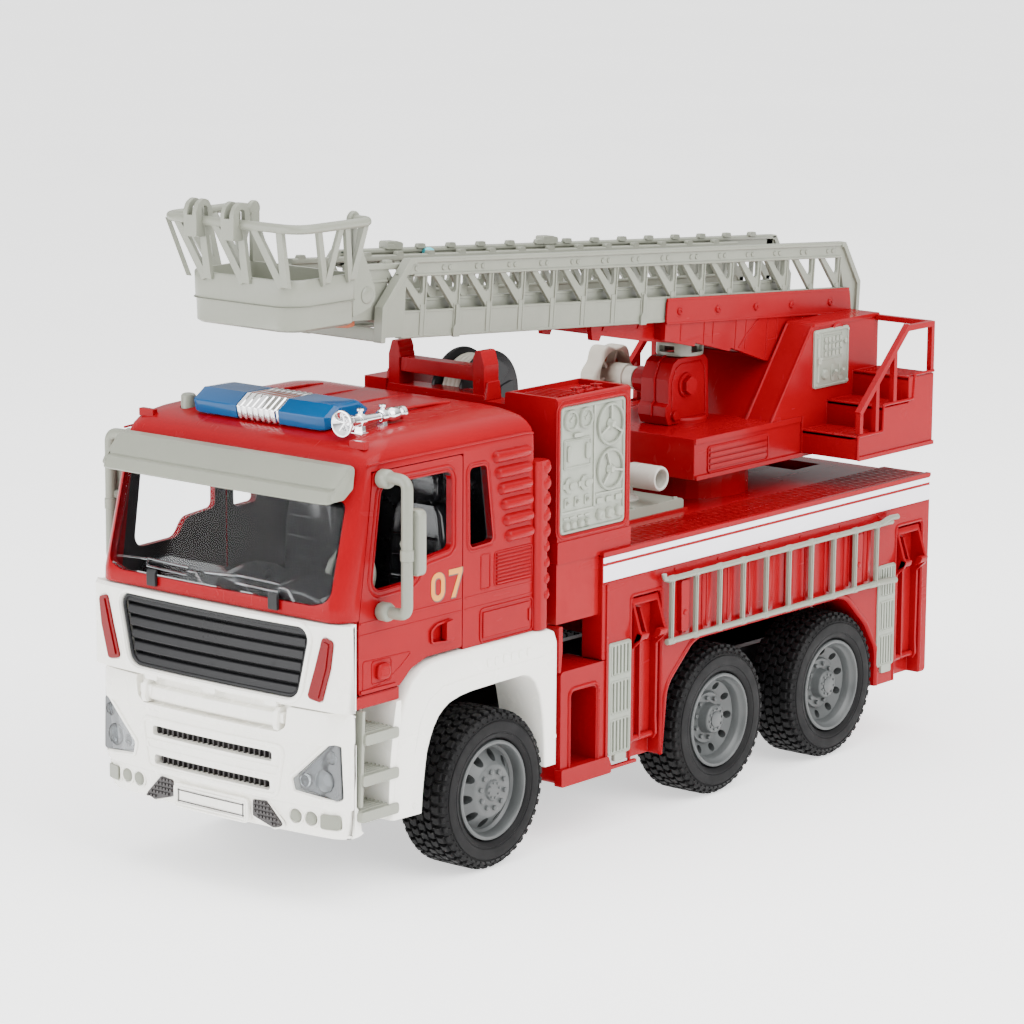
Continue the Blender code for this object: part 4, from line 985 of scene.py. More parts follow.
twin("beacon_lens", lambda: [lens()], BLUE, "chassis", bevel=0.35, seg=3, limit=30, rep=["light_lens_%s"], slot="blue")
twin("beacon_core", lambda: [loft([[(x, y, z) for y, z in bar_section(0.60)] for x in (14.0, 34.0)])] +
     [loft([[(x, y, z) for y, z in bar_section(0.72)] for x in (a, a + 1.0)]) for a in (15.5, 19.5, 23.5, 27.5, 31.5)],
     BLUE_CORE, "chassis", bevel=0.2, slot="blue")
mid = [loft([[(x, y, z) for y, z in bar_section(0.97)] for x in (-11.6, 11.6)])]
for k in range(7):
    x = -9.6 + 3.2 * k
    mid.append(loft([[(xx, y, z) for y, z in bar_section(kk)] for xx, kk in ((x - 0.9, 0.97), (x - 0.5, 1.03), (x + 0.5, 1.03), (x + 0.9, 0.97))]))
for _x in (-26, 26):
    mid.append(box(_x - 3.5, _x + 3.5, -204, -192, 194.2, 198.4))
mid.append(box(-9, 9, -208, -190, 193.6, 196.6))
put("beacon_centre", mid, CHROME, "chassis", bevel=0.2, rep=["light_bar_base"], slot="chrome")

horn = [lathe("y", (50, 198.6), [(0, -213.5), (1.2, -213.5), (3.2, -216.4), (4.9, -217.7), (5.5, -217.6), (5.5, -216.9), (4.2, -214.8), (2.7, -211.0),
                                 (2.0, -206.0), (1.7, -200.0), (1.7, -190), (2.4, -189.2), (3.0, -187.8), (3.0, -184.2), (2.0, -182.6), (2.0, -181.4), (2.8, -180.8),
                                 (2.8, -179.6), (1.8, -179.0), (0, -179.0)], 28)]
for y in (-206.0, -192.5):
    horn.append(lathe("y", (50, 198.6), [(2.0, y - 1.5), (2.8, y - 1.2), (2.8, y + 1.2), (2.0, y + 1.5)], 20))
    horn.append(prism("y", fillet([(47.6, 193.2), (52.4, 193.2), (51.4, 197.6), (48.6, 197.6)], 0.6, 3), y - 1.1, y + 1.1))
    horn.append(lathe("z", (50, y), [(0, 200), (1.0, 200), (1.0, 202.2), (1.5, 202.6), (1.5, 203.4), (0, 203.8)], 12))
for k in range(5):
    t = 2 * math.pi * k / 5 + 0.4
    horn.append(tube([(50, -215.4, 198.6), (50 + 3.9 * math.cos(t), -216.4, 198.6 + 3.9 * math.sin(t))], 0.5, 8))
horn.append(box(46.5, 53.5, -209, -186, 192.6, 193.8))
put("horn_body", horn, CHROME, "chassis", bevel=0.12, rep=["air_horn"], slot="chrome")


# ------------------------------------------------------------------ front panel, grille, bumper, lamps, fenders
def front_y(x):
    return -243.4 + 3.0 * (min(abs(x), 66.0) / 66.0) ** 2.2 + 0.07 * max(0.0, abs(x) - 66.0) ** 2


def bowed(axis_pts, xs, fn):
    """Loft of the section fn(x) along x."""
    return loft([[(x, y, z) for y, z in fn(x)] for x in xs])


XS = [-73.2, -72.6, -71, -70.5, -70.2, -68, -64, -58, -50, -36, -18, 0, 18, 36, 50, 58, 64, 68, 70.2, 70.5, 71, 72.6, 73.2]
pan = bowed(None, XS, lambda x: [(-228 if abs(x) < 70.4 else -235.4, 84.9), (front_y(x) + (1.6 if abs(x) > 72.9 else 0.6 if abs(x) > 72 else 0), 84.9),
                                 (front_y(x) + (1.6 if abs(x) > 72.9 else 0.6 if abs(x) > 72 else 0), 119.6), (front_y(x) + 1.6, 120.8), (-228 if abs(x) < 70.4 else -235.4, 120.8)])
GRILLE = fillet([(54.5, 118.4), (-54.5, 118.4), (-47.5, 87.8), (47.5, 87.8)], [5, 5, 7, 7], 6)
pan = cut(pan, [prism("y", GRILLE, -250, -229.5), box(-71, 71, -231.5, -220, 60, 130)])
put("front_white_panel", pan, WHITE, "chassis", bevel=0.5, seg=3, limit=36, rep=["front_panel"], slot="white", tidy=True)


def front_loop(pts, r, out=0.0):
    """Bead along an outline in (x, z) that follows the bowed front."""
    m = len(pts)
    dense = []
    for i in range(m):
        a, b = pts[i], pts[(i + 1) % m]
        n = max(1, int(math.hypot(b[0] - a[0], b[1] - a[1]) / 5))
        for k in range(n):
            dense.append((a[0] + (b[0] - a[0]) * k / n, a[1] + (b[1] - a[1]) * k / n))
    bead = loop_bead("y", dense, r, 0.0)
    for v in bead.verts:
        v.co.y += front_y(v.co.x) - out
    return bead


bits = [front_loop(offset(GRILLE, 1.3), 1.15)]
for _s in (1, -1):
    bits.append(front_loop(offset(fillet([(_s * x, z) for x, z in ((61.4, 116.2), (66.4, 114.4), (64.9, 103.0), (60.6, 88.6), (53.4, 89.8), (57.6, 103.0))], 1.8, 4), 0.7), 0.5, -0.2))
for x in (-34, 0, 34):
    bits.append(prism("y", rect(x - 3.4, x + 3.4, 83.6, 86.4, 0.6), front_y(x) - 0.8, front_y(x) + 2))
put("front_trim", bits, WHITE, "chassis", bevel=0, slot="white")
gr = [bowed(None, [-55, -36, -18, 0, 18, 36, 55], lambda x: [(front_y(x) + 6.4, 87), (front_y(x) + 4.6, 87), (front_y(x) + 4.6, 119), (front_y(x) + 6.4, 119)])]
for k in range(6):
    z = 88.6 + 5.15 * k
    hw = 45.6 + (z - 88) * 0.225
    xs = [-hw, -hw * 0.66, -hw * 0.33, 0, hw * 0.33, hw * 0.66, hw]
    gr.append(bowed(None, xs, lambda x, z=z: [(front_y(x) + 5.2, z - 0.1), (front_y(x) + 2.2, z + 0.1), (front_y(x) + 1.5, z + 0.7), (front_y(x) + 1.9, z + 3.7), (front_y(x) + 2.5, z + 4.2), (front_y(x) + 5.2, z + 4.3)]))
gr.append(front_loop(offset(GRILLE, -1.0), 0.9, -1.6))
put("grille_bars", gr, BLACK, "chassis", bevel=0.3, seg=2, rep=["grille"], slot="black")
sideln = []
for _s in (1, -1):
    q = fillet([(61.4, 116.2), (66.4, 114.4), (64.9, 103.0), (60.6, 88.6), (53.4, 89.8), (57.6, 103.0)], 1.6, 4)
    q = [(_s * x, z) for x, z in q]
    lo_ = prism("y", q, 0.0, 1.6)
    for v in lo_.verts:
        v.co.y += front_y(v.co.x) - 1.1
    sideln.append(lo_)
    q2 = prism("y", offset(q, -1.6), 0.0, 1.6)
    for v in q2.verts:
        v.co.y += front_y(v.co.x) - 1.7
    sideln.append(q2)
put("corner_lenses", sideln, RED_TRANS, "chassis", bevel=0.25, slot="red")

# bumper ------------------------------------------------------------------
BX = [-69.4, -69.0, -68.0, -66, -62, -56, -48, -36, -24, -12, 0, 12, 24, 36, 48, 56, 62, 66, 68.0, 69.0, 69.4]


def bump_y(x):
    return -245.0 + 4.4 * (min(abs(x), 64.0) / 64.0) ** 2.3 + 0.13 * max(0.0, abs(x) - 62.0) ** 2


def bump_sec(x):
    y = bump_y(x)
    e = 2.0 if abs(x) > 69.2 else 0.9 if abs(x) > 68.6 else 0.2 if abs(x) > 67.5 else 0.0
    return [(-231.4, 30.4 + e), (y + 5.6 + e, 30.4 + e), (y + 4.4 + e, 31.6 + e), (y + 2.6 + e, 42.6), (y + 1.2 + e, 44.0), (y + 1.2 + e, 70.0), (y + e, 71.2),
            (y + e, 83.0 - e), (y + 0.8 + e, 84.2 - e), (-231.4, 84.2 - e)]


bum = bowed(None, BX, bump_sec)
LAMP = fillet([(45.0, 54.6), (46.2, 49.8), (67.2, 47.4), (66.6, 71.6), (62.6, 70.6)], [1.2, 1.2, 1.4, 1.4, 1.4], 4)
FOGS = [("r", 44.8, 38.4, 2.9), ("r", 52.6, 38.4, 2.9)]
MESH = fillet([(22.8, 41.6), (30.0, 42.2), (38.6, 33.4), (34.0, 31.8), (22.8, 35.0)], 0.8, 3)
holes_ = []
for _s in (1, -1):
    holes_.append(prism("y", [(_s * x, z) for x, z in LAMP], -250, -233.0))
    holes_.append(prism("y", [(_s * x, z) for x, z in MESH], -250, -237.0))
    for _k, cx, cz, r in FOGS:
        holes_.append(cyl("y", (_s * cx, cz), r, -250, -237.6, 24))
holes_.append(prism("y", fillet([(34, 59.8), (34, 64.0), (-34, 64.0), (-34, 59.8)], 1.2, 3), -250, -238))
holes_.append(prism("y", fillet([(33, 47.4), (33, 51.6), (-33, 51.6), (-33, 47.4)], 1.2, 3), -250, -238))
holes_.append(prism("y", fillet([(44, 90), (42, 75.6), (38, 73.2), (-38, 73.2), (-42, 75.6), (-44, 90)], [0, 3, 2, 2, 3, 0], 4), -250, -239.4))
bum = cut(bum, holes_)
put("bumper_moulding", bum, WHITE, "chassis", bevel=0.5, seg=3, limit=36, rep=["front_bumper"], slot="white", tidy=True)
bt = []


def bump_bead(pts, r, out=0.0, y0=0.0):
    m = len(pts)
    dense = []
    for i in range(m):
        a, b = pts[i], pts[(i + 1) % m]
        n = max(1, int(math.hypot(b[0] - a[0], b[1] - a[1]) / 5))
        for k in range(n):
            dense.append((a[0] + (b[0] - a[0]) * k / n, a[1] + (b[1] - a[1]) * k / n))
    bead = loop_bead("y", dense, r, 0.0)
    for v in bead.verts:
        v.co.y += bump_y(v.co.x) - out + y0
    return bead


bt.append(bump_bead(fillet([(40.5, 66.8), (-40.5, 66.8), (-36.5, 45.6), (36.5, 45.6)], 3, 4), 1.1, -1.4))
bt.append(bump_bead(fillet([(38.0, 57.6), (-38.0, 57.6), (-36.6, 54.0), (36.6, 54.0)], 1.6, 4), 0.8, -1.4))
for _s in (1, -1):
    bt.append(bump_bead([(_s * x, z) for x, z in offset(LAMP, 1.0)], 0.8, -1.0))
    bt.append(bump_bead([(_s * x, z) for x, z in offset(MESH, 0.6)], 0.55, -3.0))
    for _k, cx, cz, r in FOGS:
        bt.append(bump_bead([(_s * cx + (r + 0.7) * math.cos(t), cz + (r + 0.7) * math.sin(t)) for t in [2 * math.pi * j / 20 for j in range(20)]], 0.5, -3.1))
    bt.append(bump_bead([(_s * x, z) for x, z in rect(57.2, 66.6, 34.4, 41.8, 1.4)], 0.5, -3.1))
pl = [(x, z) for x, z in rect(-21.2, 21.2, 31.4, 41.6, 2.2, 5)]
pb = prism("y", pl, -0.4, 2.0)
for v in pb.verts:
    v.co.y += bump_y(v.co.x) + 1.6
bt += [pb, bump_bead(offset(pl, -1.6), 0.42, -1.2), bump_bead(offset(pl, -0.3), 0.5, -1.3)]
bt.append(bowed(None, [-37, -20, 0, 20, 37], lambda x: fillet([(-239.0, 74.6), (bump_y(x) + 2.0, 74.8), (bump_y(x) + 1.2, 76.4), (bump_y(x) + 1.4, 80.6), (-239.0, 81.2)], 0.8, 3)))
for x in (-37.5, 37.5):
    bt.append(prism("x", fillet([(-239, 73.4), (-244.0, 73.8), (-244.8, 76.0), (-244.0, 81.6), (-242.2, 83.2), (-239, 83.4)], 0.8, 3), x - 1.1, x + 1.1))
    bt.append(prism("x", fillet([(-239, 76.4), (-243.0, 76.8), (-243.0, 81.0), (-239, 81.4)], 0.8, 3), x - 3.2, x + 3.2))
put("bumper_trim", bt, WHITE, "chassis", bevel=0.16, seg=2, limit=40, slot="white")
mesh = []
for _s in (1, -1):
    mesh.append(prism("y", [(_s * x, z) for x, z in offset(MESH, 0.1)], -242.2, -239.4))
    for k in range(8):
        for j in range(5):
            x, z = 24.0 + 1.9 * k, 33.2 + 2.0 * j
            if 35.8 - (x - 22.8) * 0.286 < z < 41.4 - max(0, x - 30) * 1.02:
                mesh.append(box(*sorted((_s * (x - 0.6), _s * (x + 0.6))), -242.9, -242.0, z - 0.5, z + 0.5))
    mesh.append(box(*sorted((_s * 42.0, _s * 57.0)), -236.6, -235.6, 33.0, 43.0))
for z0, z1 in ((58.6, 65.2), (46.2, 52.8)):
    mesh.append(box(-35.5, 35.5, -238.6, -237.6, z0, z1))
    for k in range(24):
        x = -33.5 + 67.0 * k / 23
        mesh.append(box(x - 0.35, x + 0.35, -240.2, -238.4, z0, z1))
mesh.append(bump_bead(offset(pl, -2.8), 0.26, -1.15))
put("bumper_mesh", mesh, MESH_BLACK, "chassis", bevel=0.08, seg=1, slot="black")


def headlamp():
    tub = prism("y", offset(LAMP, -0.15), -238.4, -233.2)
    wells = [cyl("y", (cx, cz), r, -240, -235.6, 28) for cx, cz, r in ((50.2, 54.2, 2.8), (59.4, 55.0, 4.8), (63.0, 65.4, 2.8))]
    return [cut(tub, wells)] + [lathe("y", (cx, cz), [(0, -235.2), (r * 0.45, -235.4), (r * 0.96, -237.8), (r * 0.96, -235.0), (0, -234.6)], 28)
                                for cx, cz, r in ((50.2, 54.2, 2.8), (59.4, 55.0, 4.8), (63.0, 65.4, 2.8))]


twin("headlamp_bowl", lambda: headlamp(), LAMP_BACK, "chassis", bevel=0.2, rep=["headlamp_%s"], slot="clear")


def lamp_glass():
    g = prism("y", offset(LAMP, -0.1), 0.0, 1.0)
    for v in g.verts:
        v.co.y += bump_y(v.co.x) + 1.0
    out = [g]
    for cx, cz, r in ((50.2, 54.2, 2.7), (59.4, 55.0, 4.7), (63.0, 65.4, 2.7)):
        out.append(lathe("y", (cx, cz), [(0, bump_y(cx) + 1.9), (r, bump_y(cx) + 2.0), (r, bump_y(cx) + 3.4), (0, bump_y(cx) + 4.4)], 28))
    return out


twin("headlamp_cover", lamp_glass, LAMP_CLEAR, "chassis", bevel=0.25, slot="clear")


def fog_bar():
    q = prism("y", rect(57.9, 65.9, 35.1, 41.1, 1.0), 0.0, 2.6)
    for v in q.verts:
        v.co.y += bump_y(v.co.x) + 1.7
    return q


twin("fog_lamps", lambda: [lathe("y", (cx, cz), [(0, bump_y(cx) + 2.1), (r * 0.7, bump_y(cx) + 2.2), (r * 0.97, bump_y(cx) + 2.8), (r * 0.97, -236.8), (0, -236.8)], 24)
                           for _k, cx, cz, r in FOGS] + [fog_bar()],
     SAGE, "chassis", bevel=0.2, slot="clear")


# fenders ------------------------------------------------------------------
def arch(cy, cz, r, a0, a1, n=40):
    return [(cy + r * math.cos(math.radians(a0 + (a1 - a0) * k / n)), cz + r * math.sin(math.radians(a0 + (a1 - a0) * k / n))) for k in range(n + 1)]


OUTLINE = [(-102.4, 37.4), (-102.4, 92), (-104.5, 96.6), (-109, 98.0), (-116, 98.2), (-163, 98.2), (-177, 98.0), (-187, 97.0), (-195, 94.0), (-201, 87), (-205.5, 76),
           (-209, 60), (-210.5, 46), (-210.5, 34.5), (-192.0, 33.5)]
OPEN_ = [(-191.0, 42), (-189.0, 55), (-186, 65), (-181, 73), (-174, 77.6), (-164, 79.6), (-146, 80.2), (-126, 80.6), (-119.4, 77.8), (-114.6, 70), (-112.4, 60), (-111.4, 49), (-111.0, 37.4)]
FEN = fillet(OUTLINE, [0.5, 2, 3, 2, 4, 4, 4, 5, 6, 8, 8, 6, 3, 1, 0.5], 3)


def fender():
    pairs = [((-102.4, 37.4), (-111, 37.4)), ((-102.4, 49), (-111.4, 49)), ((-102.4, 60), (-112.4, 60)), ((-102.4, 70), (-114.6, 70)), ((-102.4, 84), (-117.5, 76)),
             ((-102.6, 92), (-119.4, 77.8)), ((-104.5, 96.4), (-122, 79.6)), ((-108, 97.8), (-126, 80.6)), ((-116, 98.2), (-130, 80.5)), ((-140, 98.2), (-143, 80.3)),
             ((-163, 98.2), (-160, 79.9)), ((-177, 98.0), (-167, 79.2)), ((-185, 97.2), (-174, 77.6)), ((-192, 95.2), (-178, 75.4)), ((-198, 91), (-181, 73)),
             ((-202.4, 84.5), (-184, 69)), ((-205.6, 76), (-186, 65)), ((-208, 66), (-188, 60)), ((-209.3, 58), (-189, 55)), ((-210.3, 46), (-190.6, 44)), ((-210.5, 34.5), (-191.5, 34))]
    rings = []
    for i in range(len(pairs) * 2 - 1):
        p, q = pairs[i // 2], pairs[min(i // 2 + i % 2, len(pairs) - 1)]
        o = Vector(((p[0][0] + q[0][0]) / 2, (p[0][1] + q[0][1]) / 2))
        n = Vector(((p[1][0] + q[1][0]) / 2, (p[1][1] + q[1][1]) / 2))
        d = (n - o).normalized()
        rings.append([(x, v.x, v.y) for x, v in ((46.8, o), (68.6, o), (70.2, o + 0.25 * d), (71.0, o + 0.7 * d), (71.5, o + 1.5 * d),
                                                   (71.5, n - 0.9 * d), (71.1, n - 0.3 * d), (70.4, n), (46.8, n))])
    out = [loft(rings)]
    for k in range(6):
        y = -149.0 + 5.3 * k
        pad = fillet([(y - 1.5, 88.6), (y + 1.5, 88.6), (y + 1.5, 92.4), (y - 1.5, 92.4)], 0.8, 3)
        out.append(loft([[(x, py, pz) for py, pz in offset(pad, g)] for g, x in ((0, 71.0), (0, 71.9), (-0.4, 72.2))]))
    for y, z in ((-105.8, 88.0), (-105.0, 50.0), (-196.5, 38.0)):
        out.append(lathe("x", (y, z), [(0, 71.0), (1.5, 71.0), (1.5, 71.7), (1.0, 72.0), (0.5, 71.7), (0, 71.7)], 16))
    out.append(tube([(71.5, y, z) for y, z in [(-196.5, 60), (-193.0, 73), (-187.5, 81.5), (-178.5, 85.6), (-160, 86.6), (-112, 86.8)]], 0.3, 6))
    return out


twin("fender_moulding", fender, WHITE, "chassis", bevel=0.3, seg=2, limit=50, rep=["fender_%s"], slot="white", tidy=False)


def cab_steps():
    out = []
    for z, y0 in ((37.5, -230.0), (52.6, -229.0), (69.6, -227.6)):
        pts = fillet([(y0, z), (-207.0, z), (-207.0, z + 4.6), (y0, z + 4.6)], 1.2, 3)
        out.append(prism("x", pts, 47.5, 72.2))
        for k in range(9):
            x = 52.0 + 2.2 * k
            out.append(tube([(x, y0 + 1.5, z + 4.7), (x, -208.5, z + 4.7)], 0.5, 6))
        for y in (y0 + 1.0, -208.0):
            out.append(tube([(50.0, y, z + 4.7), (71.2, y, z + 4.7)], 0.45, 6))
    out.append(prism("x", [(-229.6, 44), (-228.2, 84), (-226.6, 84), (-228.0, 44)], 47.5, 71.0))
    return out


twin("cab_step_boards", cab_steps, STEPGREY, "chassis", bevel=0.2, seg=2, limit=40, slot="sage")
twin("cab_step_backs", lambda: [box(50.0, 53.2, -229, -206, 37, 84.6), prism("x", [(-209.6, 37.5), (-207.8, 60), (-204.4, 76), (-204.4, 84.6), (-207.5, 84.6), (-209.5, 74), (-211.4, 58), (-212.4, 37.5)], 50, 71.2)],
     WHITE, "chassis", bevel=0.4, slot="white")


# ------------------------------------------------------------------ body
WHEEL_HOLE = fillet([(-27.4, 0), (-27.4, 27.9), (-24.5, 57.3), (-4.5, 75.2), (112.5, 75.2), (130, 59.2), (139.4, 45), (139.4, 0)], [0, 8, 14, 16, 14, 10, 12, 0], 7)
SIDE = [(-72, 77.4), (-47.4, 77.4), (-47.4, 27.2), (183.5, 27.2), (183.5, 124.2), (-72, 124.2)]
b = prism("x", fillet(SIDE, [1, 2, 1, 2, 1.5, 1.5], 4), -71.4, 71.4)
b = cut(b, [prism("x", WHEEL_HOLE, 45.6, 80), prism("x", WHEEL_HOLE, -80, -45.6), box(-45.6, 45.6, -60, 190, 10, 76),
            box(-60, 60, -100, -30, 30, 119)])
cuts_ = []
for _s in (1, -1):
    for y0, y1, z1 in ((-50.8, -29.9, 102.2), (156.1, 177.1, 102.2)):
        cuts_.append(prism("x", fillet([(y0, 20), (y1, 20), (y1, z1), (y0, z1)], [0, 0, 2.0, 2.0], 3), *sorted((_s * 64.8, _s * 80))))
b = cut(b, cuts_ + [box(-15, 15, 150, 171, 118, 130)])
put("body_moulding", b, RED, "chassis", bevel=0.4, seg=3, limit=36, rep=["body_shell"], slot="red", tidy=True)


def vent_panel(y0, y1, rows):
    out = [loft([[(x, y, z) for y, z in offset(fillet([(y0, rows[0][0]), (y1, rows[0][0]), (y1, rows[-1][1]), (y0, rows[-1][1])], 1.6, 4), g)]
                 for g, x in ((0, 70.8), (0, 72.0), (-0.5, 72.5))])]
    wells = []
    w_ = (y1 - y0 - 3.2) / 5
    for z0, z1 in rows:
        for k in range(5):
            a = y0 + 1.6 + w_ * k
            wells.append(prism("x", fillet([(a + 0.65, z0 + 1.5), (a + w_ - 0.65, z0 + 1.5), (a + w_ - 0.65, z1 - 1.5), (a + 0.65, z1 - 1.5)], 0.8, 2), 71.5, 74))
    out = [cut(out[0], wells)]
    for z0, z1 in rows:
        out.append(loop_bead("x", fillet([(y0 + 1.3, z0 + 0.9), (y1 - 1.3, z0 + 0.9), (y1 - 1.3, z1 - 0.9), (y0 + 1.3, z1 - 0.9)], 1.2, 3), 0.4, 72.5))
    ym = (y0 + y1) / 2
    out.append(prism("x", fillet([(ym - 4, rows[0][0] - 3.0), (ym + 4, rows[0][0] - 3.0), (ym + 4, rows[0][0] + 0.6), (ym - 4, rows[0][0] + 0.6)], 0.8, 3), 70.8, 72.8))
    return out


twin("front_vent_panel", lambda: vent_panel(-67.7 + 18.8 - 18.8, -52.0, [(33.5, 50.6), (51.2, 67.8), (68.4, 84.2)]), PANEL, "chassis", bevel=0.16, seg=2, limit=40, slot="sage")
twin("rear_vent_panel", lambda: vent_panel(140.2, 154.4, [(36.1, 52.4), (53.0, 69.0), (69.6, 85.8)]), PANEL, "chassis", bevel=0.16, seg=2, limit=40, slot="sage")
twin("white_stripes", lambda: [prism("x", fillet([(-71.6, 112.2), (183.2, 112.2), (183.2, 119.3), (-71.6, 119.3)], 0.3, 2), 71.2, 71.55),
                               prism("x", fillet([(-71.6, 120.6), (183.2, 120.6), (183.2, 123.0), (-71.6, 123.0)], 0.3, 2), 71.2, 71.52)], STRIPE, "chassis", bevel=0, slot="red")


def body_trim():
    out = []
    # step frame behind the front wheel
    fr = fillet([(-100.2, 27.0), (-68.2, 27.0), (-68.2, 77.2), (-100.2, 77.2)], 1.8, 4)
    win = fillet([(-93.0, 32.0), (-75.5, 32.0), (-75.5, 67.4), (-93.0, 67.4)], 2.2, 4)
    out.append(cut(prism("x", fr, 50.2, 71.2), [prism("x", win, 40, 80)]))
    out.append(loop_bead("x", offset(win, 1.4), 0.75, 71.2))
    out.append(prism("x", fillet([(-100.8, 26.2), (-66.0, 26.2), (-66.0, 30.0), (-68.0, 34.0), (-100.8, 34.0)], 0.8, 3), 68.5, 72.6))
    out.append(prism("x", fillet([(-101.8, 77.2), (-100.2, 77.2), (-99.2, 86.0), (-99.2, 97.4), (-101.8, 97.4)], 0.6, 3), 50.2, 71.2))
    out.append(bar((71.6, -66.0, 28.2), (71.6, -47.6, 28.2), 1.4, 1.6, (1, 0, 0)))
    # upright behind the step and the rear edge of the cab
    out.append(prism("x", fillet([(-69.4, 27.2), (-67.9, 27.2), (-67.9, 110.8), (-69.4, 110.8)], 0.3, 2), 66, 72.0))
    # wheel arch lip
    lip = offset([p for p in WHEEL_HOLE if p[1] > 26], 1.4)
    pts = sorted([p for p in lip if p[1] > 27.2], key=lambda p: 0)
    path = [(-28.8, 27.4), (-28.9, 31.0)] + [p for p in fillet([(-28.6, 27.9), (-25.9, 58.0), (-5.2, 76.6), (113.2, 76.6), (131.4, 59.8), (140.8, 45)], [0, 14, 16, 14, 10, 0], 7)] + [(140.9, 27.4)]
    out.append(tube([(70.9, y, z) for y, z in path], 1.35, 10))
    # outrigger surrounds
    for y0, y1 in ((-50.8, -29.9), (156.1, 177.1)):
        out.append(tube(round_path([(71.2, y0 - 0.9, 27.6), (71.2, y0 - 0.9, 103.2), (71.2, y1 + 0.9, 103.2), (71.2, y1 + 0.9, 27.6)], 2.4), 0.8, 8))
        out.append(box(64.4, 65.6, y0 + 0.6, y1 - 0.6, 42.5, 101.6))
        for k in range(3):
            out.append(tube([(65.4, y0 + 6 + 4.6 * k, 44), (65.4, y0 + 6 + 4.6 * k, 99)], 0.5, 6))
    # raised ribs behind the side ladder
    for k in range(10):
        y = -12.6 + 15.9 * k
        rib = fillet([(y - 3.3, 79.0), (y + 3.3, 79.0), (y + 3.3, 107.0), (y - 3.3, 107.0)], 0.8, 3)
        out.append(loft([[(x, py, pz) for py, pz in offset(rib, g)] for g, x in ((0, 70.8), (0, 71.7), (-0.5, 72.1))]))
        out.append(bar((72.2, y - 0.4, 80.4), (72.2, y - 0.4, 105.6), 0.7, 0.5, (1, 0, 0)))
    for y in (-15.4, 120.6):
        out.append(prism("x", fillet([(y - 2.6, 81.4), (y + 2.6, 81.4), (y + 3.0, 104.6), (y - 3.0, 104.6)], 1.0, 3), 70.8, 74.0))
        out.append(knob("x", (y, 90.0), 1.4, 73.6, 74.5, 12))
    # lower edge and small rivets
    for y in (-20.0, 12, 44, 76, 108, 140):
        out.append(knob("x", (y, 109.9), 0.75, 71.2, 71.85, 10))
    out.append(bar((71.35, -71.0, 111.4), (71.35, 183.0, 111.4), 0.5, 0.7, (1, 0, 0)))
    out.append(bar((71.35, -71.0, 123.7), (71.35, 183.0, 123.7), 0.6, 0.8, (1, 0, 0)))
    # deck edge strip
    out.append(prism("x", fillet([(-72, 123.6), (183.3, 123.6), (183.3, 125.4), (-72, 125.4)], 0.5, 2), 69.6, 71.9))
    return out


twin("body_trim", body_trim, RED, "chassis", bevel=0.18, seg=2, limit=42, slot="red")
rear = [tube(round_path([(-60, 183.6, 40), (-60, 183.6, 112), (60, 183.6, 112), (60, 183.6, 40), (-60, 183.6, 40)], 3), 0.8, 8)]
for k in range(13):
    for x0, x1 in (((-56, 56),) if 46 + 5 * k > 80 else ((-56, -42), (42, 56))):
        rear.append(bar((x0, 183.6, 46 + 5 * k), (x1, 183.6, 46 + 5 * k), 1.4, 1.2, (0, 1, 0)))
for x in (-64.5, 64.5):
    rear.append(prism("x", [(182, 60), (184.8, 61), (184.8, 78), (182, 79)], x - 3.4, x + 3.4))
put("rear_roller_shutter", rear, RED, "chassis", bevel=0.2, slot="red")
put("rear_lamps", [knob("y", (s * 64.5, 30.8 + 10 * k), 3.6, 182.5, 185.2, 24) for s in (1, -1) for k in range(3)], RED_TRANS, "chassis", bevel=0.2, slot="red")


# deck -------------------------------------------------------------------
def deck_ribs():
    out = []
    for s in (1, -1):
        for k in range(96):
            y = -48.0 + 2.42 * k
            out.append(bar((s * 45.0, y, 124.5), (s * 69.4, min(y + 3.4, 182.6), 124.5), 1.0, 0.9))
            if k % 2:
                continue
            y = -48.0 + 2.42 * k
            out.append(bar((s * 69.4, y, 124.55), (s * 45.0, min(y + 6.8, 182.6), 124.55), 0.7, 0.9))
        out.append(bar((s * 44.2, -50, 124.4), (s * 44.2, 182.8, 124.4), 0.8, 0.6))
        out.append(box(*sorted((s * 34.6, s * 36.0)), -50, 36, 124.0, 125.3))
    return out


put("deck_treadplate", deck_ribs(), RED, "chassis", bevel=0, slot="red")
dc = prism("x", fillet([(-50.2, 124.3), (-50.2, 128.4), (-48.6, 129.4), (34.4, 129.4), (36, 128.4), (36, 124.3)], 0.8, 3), -33.6, 33.6)
dc2 = [dc]
for k in range(3):
    y0 = -44 + 13.5 * k
    dc2.append(prism("z", rect(-28, 9.0 if k > 1 else 28, y0, y0 + 10.5, 2.2), 129.2, 130.0))
dc2.append(prism("z", rect(-28, -2, -3, 30, 2.4), 129.2, 130.0))
for x in (-31.6, 31.6):
    for y in (-46, 0, 32):
        dc2.append(knob("z", (x, y), 1.2, 129.2, 130.1, 14))
put("deck_plate", dc2, PANEL, "chassis", bevel=0.3, seg=3, rep=["deck_cover"], slot="sage")

